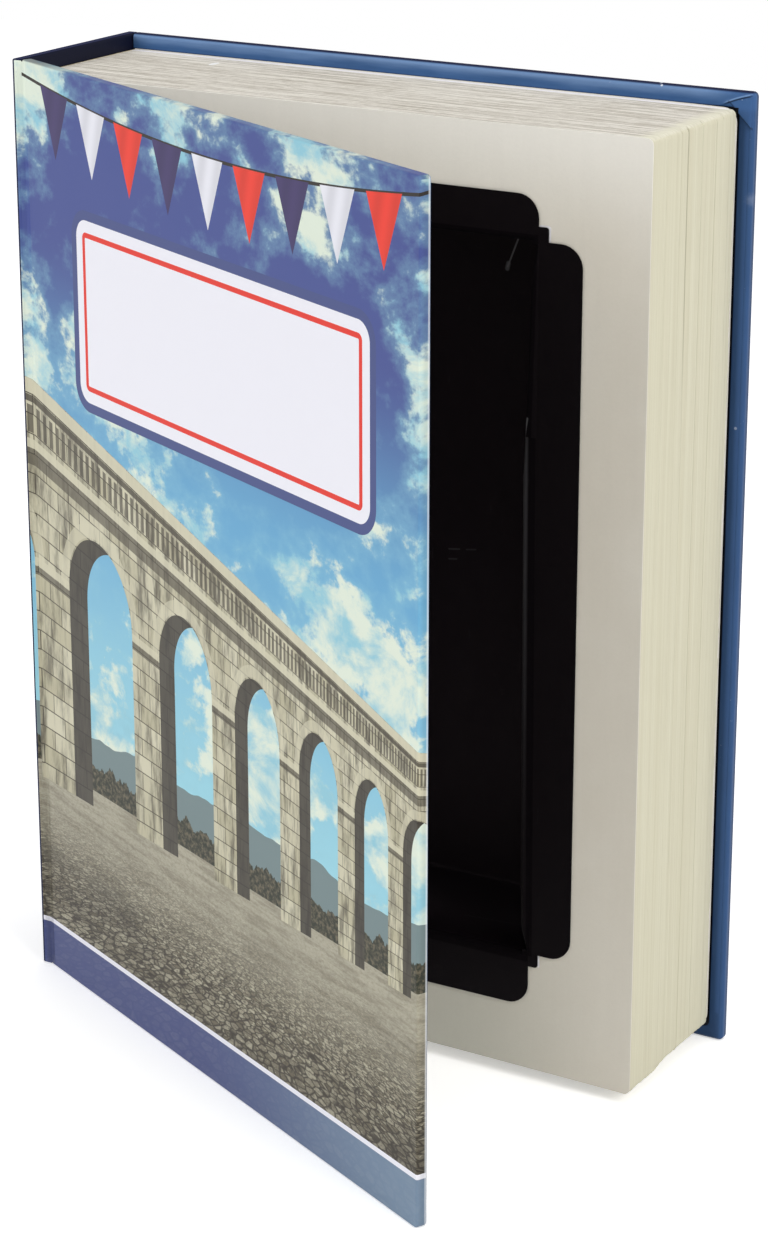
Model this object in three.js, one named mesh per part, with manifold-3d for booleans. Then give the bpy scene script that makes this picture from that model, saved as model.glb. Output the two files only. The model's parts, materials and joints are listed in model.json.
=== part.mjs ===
// Book diversion safe: a hard-cover book of real pages with a lined hollow cut into them.
// Units are millimetres. +X runs from the spine to the fore-edge, +Y from the front cover
// to the back cover, +Z from the foot of the upright book to its head.
import * as THREE from 'three';
import { mergeVertices } from 'three/addons/utils/BufferGeometryUtils.js';
import Module from 'manifold-3d';

const wasm = await Module();
wasm.setup();

// Page block
const pageWidth = 168.5;
const pageHeight = 232;
const pageCornerRadius = 0.8;
const sectionThickness = 3.55;
const cutSectionCount = 10;
const wholeSectionCount = 2;
const windowPageThickness = 0.3;
const flyleafThickness = 0.2;
const leafAir = 0.05;

// Binding of the block's spine
const spineGlueThickness = 0.4;
const spineLiningThickness = 0.3;
const spineLiningSetback = 6;

// Case: boards covered in one printed sheet
const boardThickness = 2;
const coverPaperThickness = 0.2;
const pastedownThickness = 0.2;
const glueLine = 0.25;
const turnIn = 15;
const coverCornerRadius = 1.2;
const headSquare = 4;
const foreEdgeSquare = 4;

// Fold that the front cover turns on
const foldGap = 0.3;
const foldOutset = 0.2;
const closedCoverClearance = 0.3;
const restAngle = THREE.MathUtils.degToRad(26);

// Window cut into the pages, as margins of paper left round it
const windowSpineMargin = 22;
const windowForeMargin = 28.2;
const windowHeadMargin = 25.4;
const windowFootMargin = 29.4;

// Folded sheet that lines the window
const linerThickness = 0.4;
const linerClearance = 0.3;
const headFlapReach = 10;
const footFlapReach = 13.4;
const foreFlapReach = 11.4;
const spineFlapReach = 11.4;
const flapCornerRadius = 5.5;
const sideFlapSetback = 0.6;
const cornerTabReach = 2.6;
const cornerTabLength = 3.4;

// How far a cut runs past the face that it opens
const overrun = 5;

// Sizes that follow from the ones above
const innerLayer = Math.max(coverPaperThickness, pastedownThickness);
const boardFront = coverPaperThickness + glueLine;
const boardBack = boardFront + boardThickness;
const innerLayerFront = boardBack + glueLine;
const coverThickness = innerLayerFront + innerLayer;

const sectionPitch = sectionThickness + leafAir;
const windowDepth = windowPageThickness + leafAir + cutSectionCount * sectionPitch;
const flyleafFront = windowDepth + wholeSectionCount * sectionPitch;
const blockThickness = flyleafFront + flyleafThickness + leafAir;

const blockX = coverThickness + leafAir + spineLiningThickness + leafAir + spineGlueThickness + leafAir;
const blockY = coverThickness + closedCoverClearance + linerThickness + leafAir;
const blockZ = headSquare;

const caseWidth = blockX + pageWidth + foreEdgeSquare;
const caseThickness = blockY + blockThickness + coverThickness;
const caseHeight = pageHeight + 2 * headSquare;

const windowWidth = pageWidth - windowSpineMargin - windowForeMargin;
const windowHeight = pageHeight - windowHeadMargin - windowFootMargin;

const hingeX = coverThickness + foldGap / 2;
const frontCoverReach = caseWidth - hingeX;
const backCoverStart = coverThickness + foldGap;
const backCoverWidth = caseWidth - backCoverStart;

// Finishes, in the colours of the photograph
const finish = (color, roughness) => new THREE.MeshStandardMaterial({ color, roughness, metalness: 0 });
const printedPaper = finish(0x7f9cc4, 0.32);
const bluePaper = finish(0x3c649b, 0.35);
const navyPaper = finish(0x1c2440, 0.4);
const greyBoard = finish(0x9b958a, 0.9);
const whitePaper = finish(0xeceae6, 0.75);
const pagePaper = finish(0xdad6c3, 0.85);
const dryGlue = finish(0xcbbf98, 0.5);
const liningCloth = finish(0xdcd8cc, 0.9);
const blackSheet = finish(0x0d0b0f, 0.38);

// Outline of a flat panel in the book's upright plane, with a radius for each corner
function panelShape({ left, right, foot, head, footLeft = 0, footRight = 0, headRight = 0, headLeft = 0 }) {
  const shape = new THREE.Shape();
  shape.moveTo(left + footLeft, foot);
  shape.lineTo(right - footRight, foot);
  if (footRight > 0) shape.absarc(right - footRight, foot + footRight, footRight, -Math.PI / 2, 0);
  shape.lineTo(right, head - headRight);
  if (headRight > 0) shape.absarc(right - headRight, head - headRight, headRight, 0, Math.PI / 2);
  shape.lineTo(left + headLeft, head);
  if (headLeft > 0) shape.absarc(left + headLeft, head - headLeft, headLeft, Math.PI / 2, Math.PI);
  shape.lineTo(left, foot + footLeft);
  if (footLeft > 0) shape.absarc(left + footLeft, foot + footLeft, footLeft, Math.PI, Math.PI * 1.5);
  return shape;
}

// Stands a flat outline up in the XZ plane and gives it thickness along +Y
function panel(shape, front, back) {
  const geometry = new THREE.ExtrudeGeometry(shape, {
    depth: back - front,
    bevelEnabled: false,
    curveSegments: 5,
  });
  geometry.rotateX(Math.PI / 2);
  geometry.translate(0, back, 0);
  return geometry;
}

// Turns a closed geometry into a solid that can be joined and cut
function solidOf(geometry) {
  const bare = geometry.clone();
  bare.deleteAttribute('normal');
  bare.deleteAttribute('uv');
  const merged = mergeVertices(bare);
  return new wasm.Manifold(
    new wasm.Mesh({
      numProp: 3,
      vertProperties: new Float32Array(merged.attributes.position.array),
      triVerts: new Uint32Array(merged.index.array),
    }),
  );
}

function geometryOf(solid) {
  const mesh = solid.getMesh();
  const geometry = new THREE.BufferGeometry();
  geometry.setAttribute('position', new THREE.BufferAttribute(new Float32Array(mesh.vertProperties), 3));
  geometry.setIndex(new THREE.BufferAttribute(new Uint32Array(mesh.triVerts), 1));
  geometry.computeVertexNormals();
  return geometry;
}

function addPiece(parent, name, geometry, material) {
  const mesh = new THREE.Mesh(geometry, material);
  mesh.name = name;
  parent.add(mesh);
  return mesh;
}

// Cover of a book lying in its own frame: outer face at y = 0, fold side at x = start.
// The sheet wraps the fore-edge, head and foot of the board and turns in on its inner face.
function coverPaper(start, reach) {
  const outside = panelShape({
    left: start,
    right: reach,
    foot: 0,
    head: caseHeight,
    footRight: coverCornerRadius,
    headRight: coverCornerRadius,
  });
  const slot = panelShape({
    left: start - overrun,
    right: reach - coverPaperThickness,
    foot: coverPaperThickness,
    head: caseHeight - coverPaperThickness,
    footRight: coverCornerRadius,
    headRight: coverCornerRadius,
  });
  const bareFace = panelShape({
    left: start - overrun,
    right: reach - turnIn,
    foot: turnIn,
    head: caseHeight - turnIn,
  });
  return geometryOf(
    solidOf(panel(outside, 0, coverThickness))
      .subtract(solidOf(panel(slot, coverPaperThickness, innerLayerFront)))
      .subtract(solidOf(panel(bareFace, boardBack, coverThickness + overrun))),
  );
}

function coverBoard(start, reach) {
  const edge = coverPaperThickness + glueLine;
  const shape = panelShape({
    left: start + glueLine,
    right: reach - edge,
    foot: edge,
    head: caseHeight - edge,
    footRight: coverCornerRadius,
    headRight: coverCornerRadius,
  });
  return panel(shape, boardFront, boardBack);
}

function coverPastedown(start, reach) {
  const shape = panelShape({
    left: start + glueLine,
    right: reach - turnIn - glueLine,
    foot: turnIn + glueLine,
    head: caseHeight - turnIn - glueLine,
  });
  return panel(shape, innerLayerFront, innerLayerFront + pastedownThickness);
}

// Front cover, on the fold line that it turns about
function frontCover() {
  const group = new THREE.Group();
  const start = foldGap / 2;
  group.position.set(hingeX, -foldOutset, 0);
  group.rotation.z = -restAngle;
  for (const [name, geometry, material] of [
    ['front_cover_paper', coverPaper(start, frontCoverReach), printedPaper],
    ['front_board', coverBoard(start, frontCoverReach), greyBoard],
    ['front_pastedown', coverPastedown(start, frontCoverReach), whitePaper],
  ]) {
    addPiece(group, name, geometry, material).position.y = foldOutset;
  }
  return group;
}

// Back cover: the same make, turned over so that its outer face looks backwards
function backCover() {
  const group = new THREE.Group();
  group.position.set(backCoverStart, caseThickness, caseHeight);
  group.rotation.x = Math.PI;
  addPiece(group, 'back_cover_paper', coverPaper(0, backCoverWidth), bluePaper);
  addPiece(group, 'back_board', coverBoard(0, backCoverWidth), greyBoard);
  addPiece(group, 'back_pastedown', coverPastedown(0, backCoverWidth), whitePaper);
  return group;
}

// Spine panel: a narrow board in the same sheet, which turns in at head and foot only
function spinePaper() {
  const outside = new THREE.BoxGeometry(coverThickness, caseThickness, caseHeight);
  outside.translate(coverThickness / 2, caseThickness / 2, caseHeight / 2);
  const slotWidth = innerLayerFront - coverPaperThickness;
  const slotLength = caseThickness - 2 * coverPaperThickness;
  const slotHeight = caseHeight - 2 * coverPaperThickness;
  const slot = new THREE.BoxGeometry(slotWidth, slotLength, slotHeight);
  slot.translate(coverPaperThickness + slotWidth / 2, caseThickness / 2, caseHeight / 2);
  const bareFace = new THREE.BoxGeometry(2 * overrun, slotLength, caseHeight - 2 * turnIn);
  bareFace.translate(boardBack + overrun, caseThickness / 2, caseHeight / 2);
  return geometryOf(solidOf(outside).subtract(solidOf(slot)).subtract(solidOf(bareFace)));
}

function spinePanel() {
  const group = new THREE.Group();
  const edge = coverPaperThickness + glueLine;
  addPiece(group, 'spine_paper', spinePaper(), navyPaper);
  const board = new THREE.BoxGeometry(boardThickness, caseThickness - 2 * edge, caseHeight - 2 * edge);
  addPiece(group, 'spine_board', board, greyBoard).position.set(
    boardFront + boardThickness / 2,
    caseThickness / 2,
    caseHeight / 2,
  );
  return group;
}

function pageShape(cut) {
  const shape = panelShape({
    left: 0,
    right: pageWidth,
    foot: 0,
    head: pageHeight,
    footRight: pageCornerRadius,
    headRight: pageCornerRadius,
  });
  if (cut) {
    shape.holes.push(
      panelShape({
        left: windowSpineMargin,
        right: windowSpineMargin + windowWidth,
        foot: windowFootMargin,
        head: windowFootMargin + windowHeight,
      }),
    );
  }
  return shape;
}

// Page block, from the window page behind the flaps to the flyleaf at the back
function pageBlock() {
  const group = new THREE.Group();
  group.position.set(blockX, blockY, blockZ);
  addPiece(group, 'window_page', panel(pageShape(true), 0, windowPageThickness), whitePaper);
  const cutSection = panel(pageShape(true), 0, sectionThickness);
  const wholeSection = panel(pageShape(false), 0, sectionThickness);
  for (let i = 0; i < cutSectionCount + wholeSectionCount; i += 1) {
    const name = `page_section_${String(i + 1).padStart(2, '0')}`;
    const geometry = i < cutSectionCount ? cutSection : wholeSection;
    const front = windowPageThickness + leafAir + i * sectionPitch;
    addPiece(group, name, geometry, pagePaper).position.y = front;
  }
  addPiece(group, 'back_flyleaf', panel(pageShape(false), 0, flyleafThickness), whitePaper).position.y =
    flyleafFront;
  return group;
}

// Glue that holds the sections together along the spine, and the cloth strip over it
function spineBinding() {
  const group = new THREE.Group();
  group.position.set(coverThickness + leafAir, blockY + blockThickness / 2, caseHeight / 2);
  const bound = flyleafFront + flyleafThickness;
  const glue = new THREE.BoxGeometry(spineGlueThickness, bound, pageHeight);
  addPiece(group, 'spine_glue', glue, dryGlue).position.x =
    spineLiningThickness + leafAir + spineGlueThickness / 2;
  const lining = new THREE.BoxGeometry(
    spineLiningThickness,
    bound,
    pageHeight - 2 * spineLiningSetback,
  );
  addPiece(group, 'spine_lining', lining, liningCloth).position.x = spineLiningThickness / 2;
  return group;
}

// Liner: one thin sheet folded into a floor, four walls and four flaps that lie on the window page.
// Its frame has the window's lower spine-side corner at the origin, on the page's face.
function linerGeometry() {
  const outerLeft = linerClearance;
  const outerRight = windowWidth - linerClearance;
  const outerFoot = linerClearance;
  const outerHead = windowHeight - linerClearance;
  const flapFront = -leafAir - linerThickness;
  const floorBack = windowDepth - leafAir;
  const flap = (outline) => solidOf(panel(panelShape(outline), flapFront, -leafAir));
  const outer = { left: outerLeft, right: outerRight, foot: outerFoot, head: outerHead };
  const inner = {
    left: outerLeft + linerThickness,
    right: outerRight - linerThickness,
    foot: outerFoot + linerThickness,
    head: outerHead - linerThickness,
  };
  let liner = solidOf(panel(panelShape(outer), flapFront, floorBack));
  liner = liner.add(
    flap({
      left: 0,
      right: windowWidth,
      foot: inner.head,
      head: windowHeight + headFlapReach,
      headLeft: flapCornerRadius,
      headRight: flapCornerRadius,
    }),
  );
  liner = liner.add(
    flap({
      left: 0,
      right: windowWidth,
      foot: -footFlapReach,
      head: inner.foot,
      footLeft: flapCornerRadius,
      footRight: flapCornerRadius,
    }),
  );
  const sideFoot = sideFlapSetback;
  const sideHead = windowHeight - sideFlapSetback;
  liner = liner.add(
    flap({
      left: inner.right,
      right: windowWidth + foreFlapReach,
      foot: sideFoot,
      head: sideHead,
      footRight: flapCornerRadius,
      headRight: flapCornerRadius,
    }),
  );
  liner = liner.add(
    flap({
      left: -spineFlapReach,
      right: inner.left,
      foot: sideFoot,
      head: sideHead,
      footLeft: flapCornerRadius,
      headLeft: flapCornerRadius,
    }),
  );
  for (const [left, right] of [
    [-cornerTabReach, inner.left],
    [inner.right, windowWidth + cornerTabReach],
  ]) {
    liner = liner.add(flap({ left, right, foot: sideFoot - cornerTabLength, head: sideFoot + cornerTabLength }));
    liner = liner.add(flap({ left, right, foot: sideHead - cornerTabLength, head: sideHead + cornerTabLength }));
  }
  return geometryOf(
    liner.subtract(solidOf(panel(panelShape(inner), flapFront - overrun, floorBack - linerThickness))),
  );
}

function liner() {
  const group = new THREE.Group();
  group.position.set(blockX + windowSpineMargin, blockY, blockZ + windowFootMargin);
  addPiece(group, 'cavity_liner', linerGeometry(), blackSheet);
  return group;
}

// The origin is the middle of the spine panel's foot, which the upright book stands on
const group = new THREE.Group();
group.position.set(-coverThickness / 2, -caseThickness / 2, 0);
group.add(spinePanel());
group.add(backCover());
group.add(spineBinding());
group.add(pageBlock());
group.add(liner());
group.add(frontCover());

export default group;
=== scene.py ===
"""Looks of the book diversion safe: a hard-cover book with a lined hollow in its pages."""

import json
import logging
import math
import random
from dataclasses import dataclass
from enum import Enum
from typing import Callable, Iterable, Optional, Union

import bmesh
import bpy
from mathutils import Matrix, Vector


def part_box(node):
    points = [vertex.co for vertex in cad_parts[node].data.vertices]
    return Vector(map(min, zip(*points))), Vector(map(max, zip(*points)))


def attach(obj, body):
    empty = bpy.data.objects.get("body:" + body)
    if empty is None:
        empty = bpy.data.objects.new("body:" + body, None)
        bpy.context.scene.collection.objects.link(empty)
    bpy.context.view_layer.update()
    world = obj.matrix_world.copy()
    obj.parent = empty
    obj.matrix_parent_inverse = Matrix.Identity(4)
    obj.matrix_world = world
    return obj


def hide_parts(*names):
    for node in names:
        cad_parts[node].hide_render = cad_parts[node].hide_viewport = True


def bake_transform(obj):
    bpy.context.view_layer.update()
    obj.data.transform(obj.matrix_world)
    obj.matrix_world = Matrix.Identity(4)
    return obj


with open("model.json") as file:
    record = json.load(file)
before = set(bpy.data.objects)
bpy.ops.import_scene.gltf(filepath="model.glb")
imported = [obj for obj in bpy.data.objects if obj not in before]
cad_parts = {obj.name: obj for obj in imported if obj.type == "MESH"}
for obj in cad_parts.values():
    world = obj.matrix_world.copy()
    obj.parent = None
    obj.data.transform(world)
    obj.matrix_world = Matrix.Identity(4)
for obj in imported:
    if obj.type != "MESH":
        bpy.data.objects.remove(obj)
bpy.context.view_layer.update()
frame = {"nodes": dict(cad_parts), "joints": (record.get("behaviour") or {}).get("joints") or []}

logging.basicConfig(level=logging.INFO, format="%(name)s: %(message)s")
log = logging.getLogger("book_safe")

MM = 0.001
TINY = 1e-6
QUARTER = math.pi / 2
FLAT = 0.999
IMAGE_HEIGHT = 1258
PRINT_MAP = "print"

Value = Union["Wire", int, float]
Colour = tuple[float, float, float, float]
Pair = tuple[float, float]
Place = tuple[float, float, float]
Shape = bmesh.types.BMesh
Edge = bmesh.types.BMEdge
Faces = list[bmesh.types.BMFace]

WHITE: Colour = (1.0, 1.0, 1.0, 1.0)


class Body(Enum):
    """Bodies of the part that a piece can ride on."""

    BOOK = "book"
    FRONT_COVER = "front_cover"


class Side(Enum):
    """Covers of the book, by the start of their pieces' names."""

    FRONT = "front"
    BACK = "back"


class Coat(Enum):
    """Finishes of the book, by their names in the record."""

    PRINTED = "printed_paper"
    BLUE = "blue_paper"
    NAVY = "navy_paper"
    WHITE = "white_paper"
    CARD = "card_page"
    PAGES = "page_paper"
    BLACK = "black_liner"
    BOARD = "grey_board"
    GLUE = "dry_glue"
    CLOTH = "spine_cloth"


def srgb(red: int, green: int, blue: int) -> Colour:
    """Turns a colour read off the photograph into the linear colour that a shader takes.

    Args:
        red, green, blue: the colour from 0 to 255.

    Returns:
        The linear colour with an alpha of 1.
    """

    def linear(value: float) -> float:
        """Undoes the display curve of one channel."""
        share = value / 255
        return share / 12.92 if share <= 0.04045 else ((share + 0.055) / 1.055) ** 2.4

    return (linear(red), linear(green), linear(blue), 1.0)


def operator(operation: str, reflected: bool = False) -> Callable[["Wire", Value], "Wire"]:
    """Makes a method of Wire that joins it to another value by a Math node.

    Args:
        operation: the node's operation.
        reflected: whether the other value comes first.

    Returns:
        The method.
    """

    def method(wire: "Wire", other: Value) -> "Wire":
        """Adds the node."""
        return wire.graph.math(operation, *((other, wire) if reflected else (wire, other)))

    return method


class Wire:
    """A shader socket that can be written in sums; above and below give 1 or 0."""

    __add__ = __radd__ = operator("ADD")
    __sub__, __rsub__ = operator("SUBTRACT"), operator("SUBTRACT", True)
    __mul__ = __rmul__ = operator("MULTIPLY")
    __truediv__, __rtruediv__ = operator("DIVIDE"), operator("DIVIDE", True)
    __pow__ = operator("POWER")
    __mod__ = operator("FLOORED_MODULO")
    above, below = operator("GREATER_THAN"), operator("LESS_THAN")
    lower, higher = operator("MINIMUM"), operator("MAXIMUM")

    def __init__(self, graph: "Graph", socket: bpy.types.NodeSocket) -> None:
        """Keeps the graph that the socket belongs to."""
        self.graph = graph
        self.socket = socket

    def __abs__(self) -> "Wire":
        """Size of self without its sign."""
        return self.graph.math("ABSOLUTE", self)

    def floor(self) -> "Wire":
        """Self rounded down."""
        return self.graph.math("FLOOR", self)

    def sine(self) -> "Wire":
        """Sine of self in radians."""
        return self.graph.math("SINE", self)

    def ramp(self, low: float, high: float) -> "Wire":
        """A soft step from 0 at low to 1 at high, where high may be the smaller."""
        ends = {"Value": self, "From Min": low, "From Max": high}
        return self.graph.node("ShaderNodeMapRange", {"interpolation_type": "SMOOTHSTEP"}, ends)


class Graph:
    """Node tree of one material or world."""

    def __init__(self, owner: Union[bpy.types.Material, bpy.types.World]) -> None:
        """Empties the node tree.

        Args:
            owner: the new material or world that it belongs to.
        """
        self.owner = owner
        self.owner.use_nodes = True
        self.tree = self.owner.node_tree
        self.tree.nodes.clear()

    def add(self, kind: str, settings: dict[str, object], inputs: dict) -> bpy.types.Node:
        """Adds a node.

        Args:
            kind: the node's type.
            settings: its own settings, set first.
            inputs: values or wires of its sockets, by name or number.

        Returns:
            The node.
        """
        node = self.tree.nodes.new(kind)
        for key, value in settings.items():
            setattr(node, key, value)
        for key, value in inputs.items():
            if isinstance(value, Wire):
                self.tree.links.new(value.socket, node.inputs[key])
            else:
                node.inputs[key].default_value = value
        return node

    def node(
        self, kind: str, settings: dict[str, object], inputs: dict, output: Union[str, int] = 0
    ) -> Wire:
        """Adds a node and gives back one of its outputs."""
        return Wire(self, self.add(kind, settings, inputs).outputs[output])

    def math(self, operation: str, *values: Value) -> Wire:
        """Adds a Math node on one or two values."""
        return self.node("ShaderNodeMath", {"operation": operation}, dict(enumerate(values)))

    def _blend(self, kind: str, share: Value, first: object, second: object) -> Wire:
        """Adds a Mix node on two colours."""
        settings = {"data_type": "RGBA", "blend_type": kind, "clamp_factor": True}
        return self.node("ShaderNodeMix", settings, {0: share, 6: first, 7: second}, 2)

    def paint(self, base: object, *coats: tuple[Value, object]) -> Wire:
        """Lays colours over one another.

        Args:
            base: the lowest colour, or a wire of it.
            coats: the share from 0 to 1, and the colour, of each one over it.

        Returns:
            The colour that shows.
        """
        for share, colour in coats:
            base = self._blend("MIX", share, base, colour)
        return base

    def tint(self, colour: object, amount: Value) -> Wire:
        """Multiplies a colour by a plain value."""
        grey = self.node("ShaderNodeCombineColor", {}, {0: amount, 1: amount, 2: amount})
        return self._blend("MULTIPLY", 1.0, colour, grey)

    def vector(self, x: Value, y: Value, z: Value = 0.0) -> Wire:
        """Joins three values to a vector."""
        return self.node("ShaderNodeCombineXYZ", {}, {0: x, 1: y, 2: z})

    def distance(self, place: Wire, point: Place) -> Wire:
        """How far a place is from a point."""
        ends = {0: place, 1: point}
        return self.node("ShaderNodeVectorMath", {"operation": "DISTANCE"}, ends, "Value")

    def millimetres(self, place: Wire, axes: int = 3) -> list[Wire]:
        """Splits a place in metres into millimetres along its first axes."""
        split = self.add("ShaderNodeSeparateXYZ", {}, {0: place})
        return [Wire(self, output) / MM for output in split.outputs[:axes]]

    def noise(
        self,
        place: Union[Wire, tuple[Value, ...]],
        detail: float,
        roughness: float,
        scale: float = 1.0,
        distortion: float = 0.0,
    ) -> Wire:
        """Adds a noise texture.

        Args:
            place: where it is read, as a vector or its values.
            detail: number of finer layers.
            roughness: strength of the finer layers.
            scale: size of its grain, finer with a higher value.
            distortion: how far it is stirred.

        Returns:
            Its value, about 0.5 on average.
        """
        inputs = {
            "Vector": place if isinstance(place, Wire) else self.vector(*place),
            "Scale": scale,
            "Detail": detail,
            "Roughness": roughness,
            "Distortion": distortion,
        }
        return self.node("ShaderNodeTexNoise", {}, inputs)

    def bump(self, height: Wire, depth: float, strength: float) -> Wire:
        """Turns a height from 0 to 1, which stands for a depth in metres, into a normal."""
        inputs = {"Height": height, "Distance": depth, "Strength": strength}
        return self.node("ShaderNodeBump", {}, inputs)

    def seen(self) -> Wire:
        """Tells rays of the camera, of mirrors and of glass from the others.

        Returns:
            1 for such a ray, else 0.
        """
        path = self.add("ShaderNodeLightPath", {}, {})
        rays = ("Is Camera Ray", "Is Glossy Ray", "Is Transmission Ray")
        camera, glossy, through = (Wire(self, path.outputs[ray]) for ray in rays)
        return camera.higher(glossy).higher(through)

    def surface(self, **inputs: object) -> bpy.types.Material:
        """Ends the graph with a Principled shader.

        Args:
            inputs: its sockets, with an underscore for each space in their names.

        Returns:
            The finished material.
        """
        named = {key.replace("_", " "): value for key, value in inputs.items()}
        shader = self.node("ShaderNodeBsdfPrincipled", {}, named, "BSDF")
        self.add("ShaderNodeOutputMaterial", {}, {"Surface": shader})
        return self.owner


class Brush:
    """A material in the making: its graph, the place on the piece in millimetres, and its colour."""

    def __init__(self, name: str, base: object = WHITE) -> None:
        """Starts the graph and reads the place along the part's three axes.

        Args:
            name: the material's name.
            base: the colour that everything else is laid over.
        """
        self.graph = Graph(bpy.data.materials.new(name))
        coordinates = self.graph.node("ShaderNodeTexCoord", {}, {}, "Object")
        self.x, self.y, self.z = self.graph.millimetres(coordinates)
        self.where = self.graph.vector(self.x, self.y, self.z)
        self.shown = base

    def coat(self, *coats: tuple[Value, object]) -> None:
        """Lays colours over the one that shows so far."""
        self.shown = self.graph.paint(self.shown, *coats)


class SheetBrush(Brush):
    """A brush for the printed sheet, which knows the place across and up it in millimetres."""

    def __init__(self, name: str, base: object) -> None:
        """Starts the graph and reads the place on the sheet.

        Args:
            name: the material's name.
            base: the colour that everything else is laid over.
        """
        self.graph = Graph(bpy.data.materials.new(name))
        sheet = self.graph.node("ShaderNodeUVMap", {"uv_map": PRINT_MAP}, {})
        self.u, self.v = self.graph.millimetres(sheet, 2)
        self.shown = base

    def grain(self, fine: Pair, seed: float, detail: float, rough: float, stir: float = 0.0) -> Wire:
        """Adds a noise on the sheet, with a fineness across and up and a seed."""
        place = (self.u * fine[0], self.v * fine[1], seed)
        return self.graph.noise(place, detail, rough, distortion=stir)


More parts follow.
